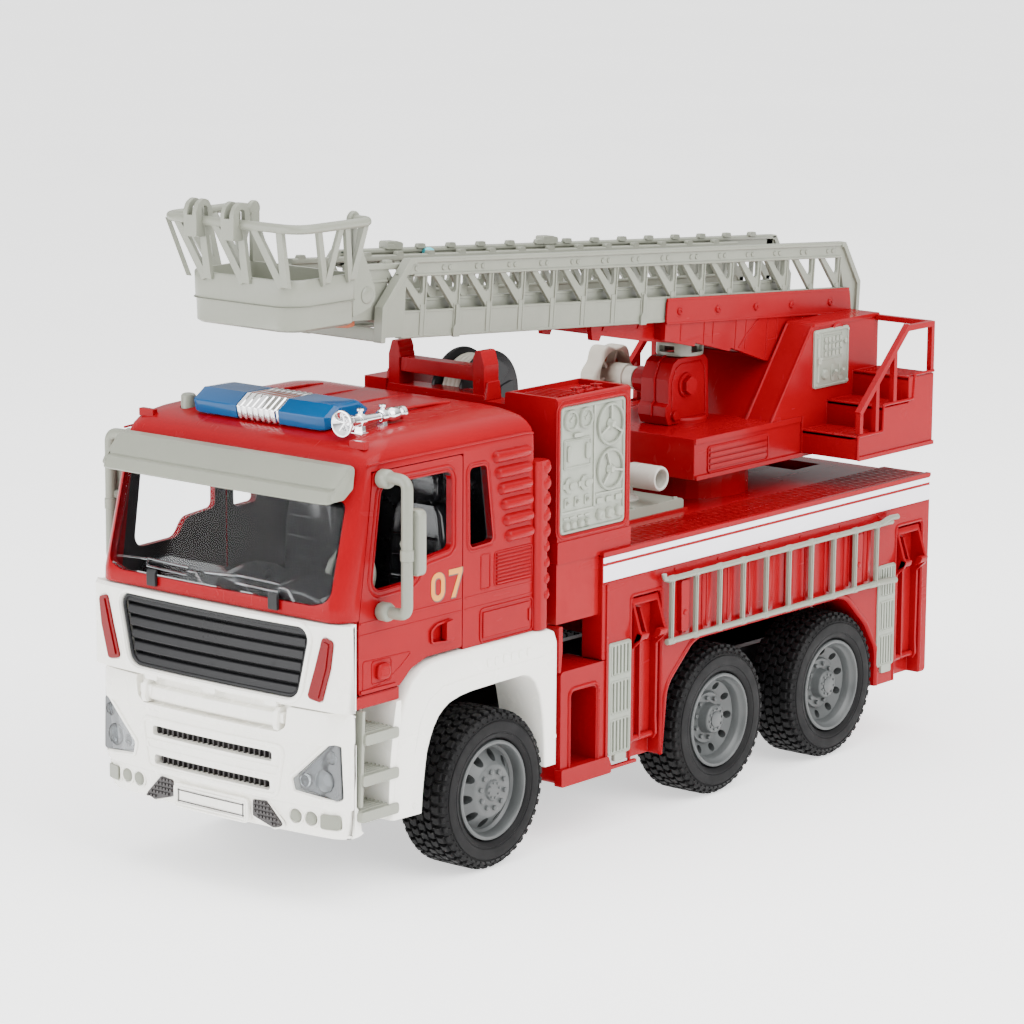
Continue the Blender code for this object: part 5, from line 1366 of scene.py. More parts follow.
nz = [lathe("z", (16, 12.5), [(0, 129.4), (7.4, 129.4), (7.8, 130.2), (7.2, 131.4), (5.6, 132.4), (4.9, 134.0), (4.6, 138.4), (0, 138.4)], 32),
      prism("y", fillet([(9.6, 136.6), (22.6, 136.6), (22.0, 142.8), (19.0, 146.4), (12.6, 146.4), (9.9, 143.4)], 1.6, 4), 7.9, 17.1),
      lathe("x", (12.5, 142.0), [(3.4, 9.4), (5.4, 9.4), (5.7, 10.4), (5.7, 13.0), (5.0, 14.0), (4.5, 18.0), (4.5, 20.6), (5.6, 21.4), (5.8, 22.4), (5.8, 37.6),
                                 (5.4, 38.5), (4.6, 38.6), (4.2, 38.0), (4.1, 22.0), (0, 19.6), (0, 9.9), (3.2, 9.9)], 32)]
nz.append(tube([(13, 7.8, 141), (10, 5.4, 141.6), (6, 5.0, 142)], 1.0, 8))
nz.append(knob("x", (5.0, 142), 1.8, 6.2, 3.8, 14))
put("nozzle_body", nz, KNOB, "chassis", bevel=0.15, rep=["water_nozzle"], slot="cream")


# pump cabinet -------------------------------------------------------------
cab2 = [box(40.0, 69.4, -101.4, -51.0, 124.6, 196.4), box(-69.4, -39.5, -101.4, -51.0, 124.6, 183.0), box(-40.5, -28.0, -101.4, -51.0, 124.6, 195.0),
        box(-29, 41, -101.4, -51.2, 124.6, 163.0), box(-60, 60, -101.4, -94.0, 77.6, 126.0), box(-69.0, 69.0, -101.2, -70.0, 97.9, 126.0),
        box(-27.8, 40.2, -101.2, -88.5, 160.0, 191.0)]
cab2[0] = prism("y", fillet([(40.0, 124.6), (69.4, 124.6), (69.4, 196.4), (40.0, 196.4)], [0, 0, 2.2, 1.2], 5), -101.4, -51.0)
cab2[1] = prism("y", fillet([(-69.4, 124.6), (-39.5, 124.6), (-39.5, 183.0), (-69.4, 183.0)], [0, 0, 0, 2.2], 5), -101.4, -51.0)
core = union(cab2)
pan_o = fillet([(-99.6, 136.6), (-54.6, 136.6), (-54.6, 192.4), (-99.6, 192.4)], 2.4, 4)
core = cut(core, [prism("x", pan_o, 68.2, 80), prism("x", pan_o, -80, -68.4)] + [box(42.2, 67.2, -98.8, -53.4, 194.2, 205)])
put("cabinet_walls", core, RED, "chassis", bevel=0.4, seg=3, limit=36, rep=["pump_cabinet"], slot="red", tidy=True)
tt = [loop_bead("x", offset(pan_o, 1.0), 0.8, 69.2), loop_bead("x", [(y, z) for y, z in offset(pan_o, 2.6)], 0.3, 69.35)]
tt += [loop_bead("x", offset(fillet([(-99.6, 136.6), (-54.6, 136.6), (-54.6, 181.4), (-99.6, 181.4)], 2.4, 4), 0.6), 0.8, -69.2)]
# slats on the rear wall of the tower and lines round the base
for k in range(7):
    tt.append(bar((43.5, -50.9, 150 + 5.6 * k), (66.5, -50.9, 150 + 5.6 * k), 1.6, 1.2, (0, 1, 0)))
tt.append(prism("x", fillet([(-101.6, 124.4), (-50.6, 124.4), (-50.6, 134.0), (-101.6, 134.0)], 0.8, 3), 66, 69.9))
tt.append(prism("x", fillet([(-101.6, 124.4), (-50.6, 124.4), (-50.6, 134.0), (-101.6, 134.0)], 0.8, 3), -69.9, -66))
# valve cluster on top of the tower
for yy, rr in ((-61.0, 2.7), (-68.5, 2.3), (-75.0, 2.7)):
    tt.append(lathe("z", (58, yy), [(0, 193.9), (rr, 193.9), (rr, 195.4), (rr * 0.6, 195.8), (rr * 0.5, 197.0), (0, 197.2)], 24))
    for k in range(4):
        t = math.pi / 4 + math.pi * k / 2
        tt.append(tube([(58, yy, 196.6), (58 + rr * math.cos(t), yy + rr * math.sin(t), 196.6)], 0.5, 8))
tt.append(tube([(58, -76, 194.6), (58, -60, 194.6)], 1.0, 10))
tt.append(box(44.0, 65.0, -96.5, -77.0, 194.0, 195.4))
for k in range(6):
    tt.append(bar((45.5, -94.6 + 3.0 * k, 195.6), (63.6, -94.6 + 3.0 * k, 195.6), 1.0, 0.8))
put("cabinet_trim", tt, RED, "chassis", bevel=0.2, seg=2, limit=42, slot="red")


def pump_panel():
    W, H, Z1, Y0 = 45.0, 55.8, 192.4, -99.6

    def at(u, v):
        return (Y0 + W * u, Z1 - H * v)

    plate = prism("x", offset(pan_o, -0.15), 67.9, 68.9)
    out = [plate, loop_bead("x", offset(pan_o, -1.0), 0.8, 69.0)]
    # dividers
    y_mid = at(0.52, 0)[0]
    out.append(bar((69.0, y_mid, at(0, 0.03)[1]), (69.0, y_mid, at(0, 0.83)[1]), 0.9, 1.1, (1, 0, 0)))
    out.append(bar((69.0, y_mid + 0.3, at(0, 0.83)[1]), (69.0, at(0.03, 0)[0], at(0, 0.83)[1]), 0.9, 1.1, (1, 0, 0)))
    out.append(bar((69.0, at(0.54, 0)[0], at(0, 0.735)[1]), (69.0, at(0.97, 0)[0], at(0, 0.735)[1]), 0.8, 1.0, (1, 0, 0)))
    for u, v in ((0.15, 0.115), (0.38, 0.115)):
        c = at(u, v)
        out.append(lathe("x", c, [(3.4, 68.6), (4.5, 68.6), (4.5, 70.1), (4.1, 70.6), (3.6, 70.3), (3.4, 69.6)], 28, closed=True))
        out.append(lathe("x", c, [(0, 68.6), (3.5, 68.6), (3.5, 69.4), (0, 69.4)], 28))
        out.append(tube([(69.6, c[0], c[1]), (69.6, c[0] + 1.6, c[1] + 1.9)], 0.32, 6))
        out.append(knob("x", c, 0.8, 69.2, 70.0, 12))
        for k in range(9):
            t = math.radians(-40 + 260 * k / 8)
            out.append(tube([(69.5, c[0] + 2.7 * math.cos(t), c[1] + 2.7 * math.sin(t)), (69.5, c[0] + 3.2 * math.cos(t), c[1] + 3.2 * math.sin(t))], 0.2, 5))
    a, b_ = at(0.05, 0.495), at(0.47, 0.26)
    dr = fillet([a, (b_[0], a[1]), b_, (a[0], b_[1])], 1.4, 4)
    out += [prism("x", dr, 68.6, 69.5), loop_bead("x", offset(dr, -0.9), 0.5, 69.5)]
    for u in (0.12, 0.40):
        c = at(u, 0.37)
        out.append(loft([[(x, y, z) for y, z in offset(fillet([(c[0] - 1.5, c[1] - 3.6), (c[0] + 1.5, c[1] - 3.6), (c[0] + 1.5, c[1] + 3.6), (c[0] - 1.5, c[1] + 3.6)], 1.4, 4), g)]
                         for g, x in ((0, 69.2), (0, 70.4), (-0.6, 70.9))]))
    c = at(0.26, 0.235)
    out.append(prism("x", fillet([(c[0] - 3, c[1] - 0.9), (c[0] + 3, c[1] - 0.9), (c[0] + 3, c[1] + 0.9), (c[0] - 3, c[1] + 0.9)], 0.8, 3), 68.6, 70.2))
    for u, v in ((0.14, 0.62), (0.38, 0.62)):
        c = at(u, v)
        out.append(lathe("x", c, [(0, 68.6), (3.4, 68.6), (3.4, 69.8), (2.9, 70.3), (1.7, 70.4), (1.6, 71.2), (0, 71.3)], 24))
        for s in (-1, 1):
            out.append(prism("x", fillet([(c[0] + s * 2.6, c[1] - 1.2), (c[0] + s * 5.0, c[1] - 0.9), (c[0] + s * 5.0, c[1] + 0.9), (c[0] + s * 2.6, c[1] + 1.2)], 0.6, 3), 68.6, 69.9))
    for k in range(3):
        c = at(0.10 + 0.155 * k, 0.755)
        out.append(prism("x", fillet([(c[0] - 1.5, c[1] - 2.2), (c[0] + 1.5, c[1] - 2.2), (c[0] + 1.5, c[1] + 2.2), (c[0] - 1.5, c[1] + 2.2)], 0.4, 2), 68.6, 69.5))
        out.append(tube([(69.3, c[0], c[1] - 0.6), (70.9, c[0], c[1] + 0.9)], 0.7, 8))
    for u in (0.09, 0.19, 0.31, 0.42):
        c = at(u, 0.93)
        out.append(lathe("x", c, [(0, 68.6), (1.7, 68.6), (1.7, 70.3), (1.3, 70.9), (0, 71.0)], 18))
        c = at(u, 0.875)
        out.append(prism("x", [(c[0] - 1.6, c[1] - 0.4), (c[0] + 1.6, c[1] - 0.4), (c[0] + 1.6, c[1] + 0.4), (c[0] - 1.6, c[1] + 0.4)], 68.6, 69.5))
    for v in (0.20, 0.555):
        c = at(0.765, v)
        out.append(lathe("x", c, [(8.0, 69.6), (8.2, 70.3), (8.7, 70.6), (9.2, 70.3), (9.4, 69.6), (9.2, 68.7), (8.2, 68.7)], 44, closed=True))
        out.append(lathe("x", c, [(0, 68.6), (2.6, 68.6), (2.6, 69.6), (1.6, 70.6), (1.3, 71.4), (0, 71.5)], 24))
        for k in range(3):
            t = math.radians(90 + 120 * k + (20 if v > 0.4 else 0))
            out.append(bar((69.9, c[0], c[1]), (69.9, c[0] + 8.4 * math.cos(t), c[1] + 8.4 * math.sin(t)), 0.95, 0.9, (1, 0, 0)))
    for u in (0.61, 0.755, 0.90):
        c = at(u, 0.79)
        out.append(prism("x", fillet([(c[0] - 2.2, c[1] - 1.2), (c[0] + 2.2, c[1] - 1.2), (c[0] + 2.2, c[1] + 1.2), (c[0] - 2.2, c[1] + 1.2)], 0.4, 2), 68.6, 69.7))
        c = at(u, 0.90)
        out.append(lathe("x", c, [(0, 68.6), (2.5, 68.6), (2.5, 70.2), (1.9, 71.0), (0.8, 71.1), (0, 70.6)], 20))
    for u, v in ((0.03, 0.03), (0.97, 0.03), (0.03, 0.97), (0.97, 0.97)):
        out.append(knob("x", at(u, v), 0.7, 68.8, 69.5, 10))
    return out


put("pump_panel_left", pump_panel(), PANEL, "chassis", bevel=0.12, seg=2, limit=42, slot="sage")
rp = []
for _b in pump_panel():
    rp.append(mirrored(_b))
shrink = Matrix.Translation((0, 0, 136.6)) @ Matrix.Scale(0.80, 4, (0, 0, 1)) @ Matrix.Translation((0, 0, -136.6))
put("pump_panel_right", [moved(x, shrink) for x in rp], PANEL, "chassis", bevel=0.12, seg=2, limit=42, slot="sage")

# ladder rest ---------------------------------------------------------------
lr = []
for s in (1, -1):
    lr.append(prism("y", fillet([(s * 21.0, 191.0), (s * 27.6, 191.0), (s * 27.4, 206), (s * 25.4, 212.2), (s * 22.4, 212.2), (s * 21.0, 209)], 0.9, 3), -100.3, -90.5))
    lr.append(prism("y", fillet([(s * 20.0, 204.6), (s * 24.2, 204.6), (s * 24.2, 207.6), (s * 20.8, 207.2)], 0.6, 3), -100.2, -90.6))
    lr.append(prism("x", [(-100.6, 191), (-90.2, 191), (-91.5, 199), (-99.2, 199)], *sorted((s * 27.2, s * 29.0))))
lr.append(prism("y", fillet([(-21.5, 198.6), (21.5, 198.6), (21.5, 205.0), (-21.5, 205.0)], 0.8, 3), -99.4, -91.6))
lr.append(prism("y", fillet([(-27.8, 190.9), (27.8, 190.9), (27.8, 193.2), (-27.8, 193.2)], 0.6, 3), -100.8, -90.0))
put("ladder_gantry", lr, RED, "chassis", bevel=0.3, seg=2, limit=36, rep=["ladder_rest"], slot="red")

# hose reel --------------------------------------------------------------
put("reel_drum", [lathe("x", (-74, 188), [(0, -9.2), (18.6, -9.2), (19.8, -8.8), (20.0, -8.0), (19.8, -7.0), (19.0, -6.6), (8.6, -6.4), (8.6, 6.4), (19.0, 6.6), (19.8, 7.0), (20.0, 8.0),
                                                 (19.8, 8.8), (18.6, 9.2), (0, 9.2)], 48)] +
    [moved(prism("x", fillet([(6.4, -3.2), (15.8, -5.6), (15.8, 5.6), (6.4, 3.2)], 1.6, 3), -9.9, -9.0), Matrix.Translation((0, -74, 188)) @ Matrix.Rotation(math.pi / 3 * k, 4, "X")) for k in range(6)] +
    [moved(prism("x", fillet([(6.4, -3.2), (15.8, -5.6), (15.8, 5.6), (6.4, 3.2)], 1.6, 3), 9.0, 9.9), Matrix.Translation((0, -74, 188)) @ Matrix.Rotation(math.pi / 3 * k, 4, "X")) for k in range(6)],
    BLACK, "hose_reel", bevel=0.2, rep=["hose_reel"], slot="black")


# ------------------------------------------------------------------ hose on its reel
def hose_turns():
    out = []
    r = 1.55
    for layer in range(3):
        rad = 10.6 + 2.75 * layer
        n = 4
        pts = []
        for k in range(n * 36 + 1):
            t = 2 * math.pi * k / 36
            x = -4.7 + 9.4 * k / (n * 36)
            if layer % 2:
                x = -x
            pts.append((x, -74 + rad * math.cos(t), 188 + rad * math.sin(t)))
        out.append(tube(pts, r, 10))
    return out


put("hose_winding", hose_turns(), CREAM, "hose_reel", bevel=0, rep=["wound_hose"], slot="cream")


# ------------------------------------------------------------------ side ladders and outriggers
def side_ladder():
    out = []
    y0, y1 = -29.6, 146.0
    for z, r in ((107.2, 1.3), (78.9, 1.3)):
        out.append(tube([(74.8, y0, z), (74.8, y1, z)], r, 14))
    for y in (y0, y1):
        for z in (107.2, 78.9):
            out.append(lathe("y", (74.8, z), [(0, y - 0.5), (1.3, y - 0.3), (1.5, y), (1.3, y + 0.3), (0, y + 0.5)], 14))
    for k in range(10):
        y = -26.5 + 17.8 * k
        out.append(bar((74.7, y, 107.2), (74.7, y, 78.9), 1.9, 1.7, (1, 0, 0)))
        out.append(bar((75.6, y, 106.4), (75.4, y, 79.6), 0.9, 1.0, (1, 0, 0)))
        for z in (107.2, 78.9):
            out.append(lathe("y", (74.8, z), [(1.25, y - 1.8), (1.6, y - 1.4), (1.6, y + 1.4), (1.25, y + 1.8)], 14))
    out.append(tube(round_path([(74.8, y0 + 1, 107.2), (74.8, y0 - 2.4, 107.8), (74.8, y0 - 2.8, 110.2)], 2), 1.2, 12))
    out.append(tube(round_path([(74.8, 128, 107.2), (74.8, 138, 107.3), (75.0, 143.5, 109.2), (75.2, 150.5, 109.0)], 3), 1.35, 12))
    out.append(tube(round_path([(74.8, 128, 78.9), (74.8, 140, 78.7), (75.6, 149.5, 78.5)], 2), 1.5, 12))
    return out


twin("side_ladder_frame", side_ladder, SAGE, ("side_ladder_left", "side_ladder_right"), bevel=0.15, seg=2, limit=45, rep=["side_ladder_%s"], slot="sage")



def leg(y0, y1):
    """Folded outrigger: a channel between two flanges with a kinked, hooked head."""
    side = [(65.4, 36.4), (66.6, 34.4), (69.4, 34.4), (71.0, 37.0), (70.6, 44), (70.8, 78.5), (75.2, 82.6), (76.2, 85.2), (74.8, 87.6), (70.2, 101.4), (66.0, 101.4)]
    out = []
    for a in (y0 + 0.6, y1 - 2.2):
        out.append(prism("y", fillet(side, [0.8, 0.8, 0.8, 1, 1, 1.6, 1, 1, 1, 0.6, 0.4], 3), a, a + 1.6))
    out.append(prism("y", [(65.8, 36.6), (67.2, 36.0), (67.2, 101.2), (65.8, 101.2)], y0 + 0.7, y1 - 0.7))
    out.append(prism("y", fillet([(67.0, 96.4), (71.2, 98.2), (70.4, 101.2), (67.0, 101.2)], 0.4, 2), y0 + 0.7, y1 - 0.7))
    ym = (y0 + y1) / 2
    out.append(prism("y", fillet([(66.4, 36), (69.8, 36), (69.6, 80), (73.6, 84.2), (72.6, 86.8), (69.4, 96.0), (66.4, 96.0)], [0.3, 0.6, 1, 1, 1, 0.4, 0.4], 3), ym - 2.4, ym - 1.2))
    out.append(prism("y", fillet([(71.0, 80.4), (75.6, 83.4), (76.6, 86.0), (73.4, 86.4)], 0.5, 2), y0 + 0.6, y0 + 6.0))
    out.append(prism("y", fillet([(71.0, 80.4), (75.6, 83.4), (76.6, 86.0), (73.4, 86.4)], 0.5, 2), y1 - 6.0, y1 - 0.6))
    out.append(tube([(68.2, y0 + 0.7, 37.0), (68.2, y1 - 0.7, 37.0)], 1.5, 12))
    return out


twin("outrigger_leg_front", lambda: leg(-50.5, -30.2), RED, ("outrigger_front_left", "outrigger_front_right"), bevel=0.25, seg=2, limit=40, rep=["outrigger_front_%s"], slot="red")
twin("outrigger_leg_rear", lambda: leg(156.4, 176.8), RED, ("outrigger_rear_left", "outrigger_rear_right"), bevel=0.25, seg=2, limit=40, rep=["outrigger_rear_%s"], slot="red")

# ------------------------------------------------------------------ turntable trim
TT_PLAT = []
# raised louvre in the platform side
for s in (1, -1):
    fr = fillet([(46.4, 140.2), (93.2, 140.2), (93.2, 152.2), (46.4, 152.2)], 1.6, 4)
    TT_PLAT.append(loop_bead("x", [(y, z) for y, z in fr], 0.55, s * 39.5))
    for k in range(4):
        z = 141.8 + 2.75 * k
        TT_PLAT.append(prism("x", [(47.6, z), (92.0, z), (92.0, z + 1.9), (47.6, z + 1.9)], *sorted((s * 39.2, s * 40.0))))
    TT_PLAT.append(prism("x", fillet([(36.2, 137.9), (183.3, 137.9), (183.3, 139.9), (36.2, 139.9)], 0.4, 2), *sorted((s * 39.1, s * 40.7))))
    TT_PLAT.append(prism("x", fillet([(36.2, 154.6), (119.6, 154.6), (119.6, 157.2), (36.2, 157.2)], 0.5, 2), *sorted((s * 39.1, s * 39.9))))
    TT_PLAT.append(prism("x", [(119.6, 140), (120.8, 140), (120.8, 157), (119.6, 157)], *sorted((s * 39.0, s * 40.4))))
    # step treads
    for y0, y1, z in ((120.6, 140.4, 150.6), (141.6, 161.4, 162.2), (162.6, 182.6, 174.0)):
        TT_PLAT.append(prism("z", rect(*sorted((s * 40.6, s * 69.6)), y0 + 0.8, y1 - 0.8, 0.8), z - 0.1, z + 0.45))
        for k in range(6):
            yy = y0 + 2.6 + 3.0 * k
            if yy < y1 - 1.6:
                TT_PLAT.append(bar((s * 42.0, yy, z + 0.5), (s * 68.4, yy, z + 0.5), 0.9, 0.5))
        TT_PLAT.append(prism("x", fillet([(y0 - 0.6, z - 1.8), (y0 + 1.0, z - 1.8), (y0 + 1.0, z + 0.7), (y0 - 0.6, z + 0.7)], 0.5, 2), *sorted((s * 39.8, s * 71.8))))
    # stringer edge
    TT_PLAT.append(tube(round_path([(s * 72.1, 120.2, 140), (s * 72.1, 120.2, 151.0), (s * 72.1, 140.4, 151.0), (s * 72.1, 140.8, 163.6), (s * 72.1, 165.6, 163.6),
                                    (s * 72.1, 166.6, 175.2), (s * 72.1, 182.9, 175.2)], 1.2, 3), 0.75, 8))
    TT_PLAT.append(prism("x", fillet([(120, 139.4), (183.4, 139.4), (183.4, 141.4), (120, 141.4)], 0.4, 2), *sorted((s * 71.6, s * 72.9))))
    # rounded edge beads down the sloping front of the walls
    for x in (24.3, 38.7):
        TT_PLAT.append(tube([(s * x, 96.6, 156.6), (s * x, 128.2, 199.0)], 0.8, 8))
    TT_PLAT.append(prism("x", fillet([(128.4, 198.4), (183.5, 198.4), (183.5, 200.2), (129.4, 200.2)], 0.7, 3), *sorted((s * 23.3, s * 39.8))))
    # pivot boss
    TT_PLAT.append(lathe("x", (148, 194.3), [(0, s * 39.4), (5.0, s * 39.4), (5.2, s * 40.0), (4.4, s * 40.5), (3.4, s * 40.2), (0, s * 40.2)], 28))
# cross plate between the walls, behind the gearbox
TT_PLAT.append(prism("x", [(97.4, 155.6), (99.6, 155.6), (119.6, 182.4), (117.8, 183.6)], -23.4, 23.4))
TT_PLAT.append(tube([(-23.4, 118.7, 183.2), (23.4, 118.7, 183.2)], 1.2, 8))
put("turntable_trim", TT_PLAT, RED, "turntable", bevel=0.15, seg=2, limit=44, slot="red")
ring = [lathe("z", (0, 80), [(29.0, 136.4), (31.4, 136.4), (31.6, 137.0), (31.4, 137.8), (29.0, 137.8)], 64, closed=True)]
put("turntable_ring", ring, RED, "turntable", bevel=0, slot="red")


def keypad():
    o = fillet([(128.8, 169.0), (157.0, 169.0), (157.0, 197.0), (128.8, 197.0)], 1.4, 4)
    out = [loft([[(x, y, z) for y, z in offset(o, g)] for g, x in ((0, 39.2), (0, 40.2), (-0.5, 40.6))])]
    out.append(loop_bead("x", offset(o, -1.2), 0.4, 40.5))
    kp = fillet([(134.0, 182.6), (150.6, 182.6), (150.6, 194.6), (134.0, 194.6)], 0.8, 3)
    out.append(loop_bead("x", kp, 0.4, 40.6))
    for i in range(5):
        for j in range(3):
            y, z = 135.6 + 3.1 * i, 184.0 + 3.4 * j
            out.append(prism("x", fillet([(y, z), (y + 2.2, z), (y + 2.2, z + 2.3), (y, z + 2.3)], 0.4, 2), 40.2, 41.4))
    out.append(lathe("x", (136.2, 175.4), [(0, 40.3), (2.5, 40.3), (2.5, 41.4), (1.9, 42.2), (0, 42.3)], 20))
    for y in (143.2, 149.4):
        out.append(prism("x", fillet([(y - 1.4, 171.6), (y + 1.4, 171.6), (y + 1.4, 179.6), (y - 1.4, 179.6)], 1.0, 3), 40.2, 41.0))
        out.append(tube([(40.6, y, 174.4), (43.0, y, 176.8)], 0.95, 10))
    out.append(prism("x", fillet([(130.4, 172), (132.0, 172), (132.0, 193), (130.4, 193)], 0.6, 3), 40.3, 41.1))
    out.append(prism("x", fillet([(129.9, 181), (132.6, 181), (132.6, 184), (129.9, 184)], 0.5, 3), 40.8, 42.0))
    for y, z in ((130.4, 170.6), (155.4, 170.6), (155.4, 195.4), (130.4, 195.4)):
        out.append(knob("x", (y, z), 0.8, 40.4, 41.2, 10))
    out.append(lathe("x", (153.4, 190), [(0, 40.3), (1.3, 40.3), (1.3, 41.2), (0, 41.5)], 14))
    return out


put("control_panel_near", keypad(), PANEL, "turntable", bevel=0.12, seg=2, limit=44, slot="sage")
put("control_panel_far", [mirrored(b) for b in keypad()], PANEL, "turntable", bevel=0.12, seg=2, limit=44, slot="sage")

# gearbox and collar trim
gb = []
for s in (1, -1):
    gb.append(lathe("x", (70, 175), [(0, s * 7.6), (5.6, s * 7.6), (5.9, s * 8.4), (5.6, s * 9.2), (4.4, s * 9.4), (0, s * 9.4)], 28))
    gb.append(loop_bead("x", fillet([(59.4, 159.2), (59.4, 177.0), (62.4, 183.4), (66.4, 185.2), (81.6, 185.2), (84.6, 182.6), (85.8, 159.2)], 1.6, 3), 0.4, s * 8.3))
gb.append(tube([(0, 54.6, 161), (0, 54.6, 166.6), (0, 56.6, 168), (0, 56.6, 178.6), (0, 60.2, 186.4), (0, 64, 188.3), (0, 84, 188.3), (0, 87.4, 185.8)], 0.55, 8))
gb.append(lathe("z", (0, 76), [(8.4, 156.8), (13.4, 156.8), (13.4, 158.6), (12.6, 159.6), (9.4, 159.8), (8.4, 159.8)], 40, closed=True))
put("gearbox_trim", gb, RED, "turntable", bevel=0.15, slot="red")

# handwheel: a lobed cup, hollow towards the gearbox, on a pale sleeve
HWC = (70.0, 175.0)
lobes = []
for k in range(96):
    t = 2 * math.pi * k / 96
    rr = 14.5 + 1.35 * math.cos(6 * t + 0.4)
    lobes.append((rr * math.cos(t), rr * math.sin(t)))


def hw_ring(k, x):
    return [(x, HWC[0] + u * k, HWC[1] + v * k) for u, v in lobes]


def hw_round(r, x):
    return [(x, HWC[0] + r * u / math.hypot(u, v), HWC[1] + r * v / math.hypot(u, v)) for u, v in lobes]


hand = [loft([hw_ring(0.80, -43.0), hw_ring(0.93, -42.9), hw_ring(0.985, -42.3), hw_ring(1.0, -41.2), hw_ring(1.0, -35.0), hw_ring(0.985, -33.8), hw_ring(0.94, -33.1),
              hw_round(12.2, -33.0), hw_round(11.8, -33.6), hw_round(11.4, -40.4)])]
hand.append(lathe("x", HWC, [(0, -40.6), (5.4, -40.6), (5.6, -34.0), (6.3, -33.2), (6.3, -25.8), (5.5, -25.2), (5.4, -20.0), (2.1, -19.8), (2.1, -5.2), (0, -5.2)], 36))
for k in range(6):
    t = 2 * math.pi * k / 6 + 0.2
    hand.append(bar((-38.0, HWC[0] + 5 * math.cos(t), HWC[1] + 5 * math.sin(t)), (-38.0, HWC[0] + 11.6 * math.cos(t), HWC[1] + 11.6 * math.sin(t)), 1.4, 5.0, (1, 0, 0)))
put("lift_handwheel", hand, CREAM, "handwheel", bevel=0.2, seg=2, limit=46, rep=["handwheel"], slot="sage")
# painted shade: a brownish ring at the bottom of the handwheel's hollow stands in for the shadow inside the cup
put("lift_handwheel_well", [lathe("x", HWC, [(5.8, -40.35), (11.3, -40.35), (11.2, -39.9), (5.8, -39.9)], 48, closed=True)], BRACKET, "handwheel", bevel=0, slot="sage")
collar = lathe("z", (0, 76), [(8.5, 188.4), (10.9, 188.4), (11.1, 189.2), (11.1, 194.0), (10.8, 194.9), (8.5, 194.9)], 48, closed=True)
collar = cut(collar, [box(8, 13, 71.6, 80.4, 190.2, 193.2), box(-4.4, 4.4, 62, 68, 190.2, 193.2)])
put("lift_collar_ring", collar, SAGE, "turntable", bevel=0.15, rep=["lift_collar"], slot="sage", tidy=True)


# ------------------------------------------------------------------ boom: cradle, outer and inner ladder
MB = Matrix.Translation((0, 148, 197.5)) @ Matrix.Rotation(-math.radians(4.07), 4, "X")


def put_b(name, bms, mat, body, **k):
    return put(name, [moved(b, MB) for b in bms], mat, body, **k)


def mir(bms):
    return [mirrored(b) for b in bms]


def cradle_side():
    web = [(-113, -4.5), (-90, -8.0), (-89, -6.4), (-62, -11.5), (-61, -9.9), (-34, -17), (-14, -19), (-6, -13), (6.6, -5.2), (10, 3), (10, 4.2), (-113, 4.2)]
    out = [prism("x", web, 19.2, 22.2)]
    out.append(prism("x", fillet([(-113.5, 3.4), (-113.5, 14.3), (33, 14.9), (35.6, 3.4)], [0.8, 1.6, 1.6, 0.8], 3), 21.9, 23.0))
    out.append(bar((22.6, -113.3, 14.5), (22.6, 32.6, 15.0), 1.3, 0.9, (1, 0, 0)))
    out.append(bar((22.9, -113.3, 3.6), (22.9, 35.2, 3.7), 0.9, 0.7, (1, 0, 0)))
    for y in (-104.0, -74.4, -44.2, -15.4, 16.8):
        out.append(lathe("x", (y, 8.9), [(0, 22.8), (1.75, 22.8), (1.75, 23.3), (1.25, 23.9), (0.7, 23.9), (0.6, 23.4), (0, 23.4)], 18))
        out.append(lathe("x", (y, 8.9), [(2.3, 22.9), (2.6, 23.15), (2.9, 22.9)], 18, closed=True))
    for y in (-101, -83, -76, -58, -50, -33, -25, -12):
        z0 = -6 if y < -90 else -8 if y < -60 else -12 if y < -34 else -17
        out.append(bar((22.25, y, 3.2), (22.25, y, z0 + 1.0), 0.8, 0.5, (1, 0, 0)))
    out.append(tube(round_path([(22.3, -40, 3.2), (22.3, -50, -4.5), (22.3, -55, -10.0)], 4), 0.4, 6))
    out.append(tube(round_path([(22.3, -4.0, 3.2), (22.3, -10, -2.5), (22.3, -17, -17.0)], 4), 0.4, 6))
    out.append(prism("x", fillet([(-160, 3.4), (-160, 10.4), (-112, 8.0), (-100, 4.8), (-100, -6.4), (-118, -5.2), (-152, -1.2), (-153, -3.6), (-158.6, -3.0)], 0.7, 3), 13.0, 15.6))
    out.append(prism("x", fillet([(-160.4, 8.8), (-160.4, 10.8), (-112, 8.6), (-112, 6.4)], 0.4, 2), 15.2, 16.6))
    for y in (-150, -124):
        out.append(prism("x", [(y - 2, 1.0), (y + 2, 0.6), (y, 5.0)], 15.4, 16.1))
    return out


cr = cradle_side() + mir(cradle_side())
cr.append(prism("x", [(-113, 1.0), (10, 1.0), (10, 4.2), (-113, 4.2)], -19.5, 19.5))
cr.append(prism("x", [(-160, 3.6), (-112, 1.4), (-112, 3.9), (-160, 6.2)], -13.4, 13.4))
for y in (-108, -60, -20):
    cr.append(prism("x", [(y - 1.2, -3.0), (y + 1.2, -3.0), (y + 1.2, 1.6), (y - 1.2, 1.6)], -19.4, 19.4))
cr.append(box(-19.4, 19.4, -112.6, -110.0, -4.2, 1.4))
put_b("cradle_body", cr, RED, "boom", bevel=0.25, seg=2, limit=36, rep=["boom_cradle"], slot="red")
put("cradle_pivot", [lathe("x", (148, 194.3), [(0, 22.0), (5.4, 22.0), (5.6, 22.5), (5.2, 23.0), (4.3, 22.9), (3.6, 22.6), (0, 22.7)], 32),
                     lathe("x", (148, 194.3), [(0, -22.0), (5.4, -22.0), (5.6, -22.5), (5.2, -23.0), (4.3, -22.9), (3.6, -22.6), (0, -22.7)], 32)],
    RED, "boom", bevel=0.1, slot="red")


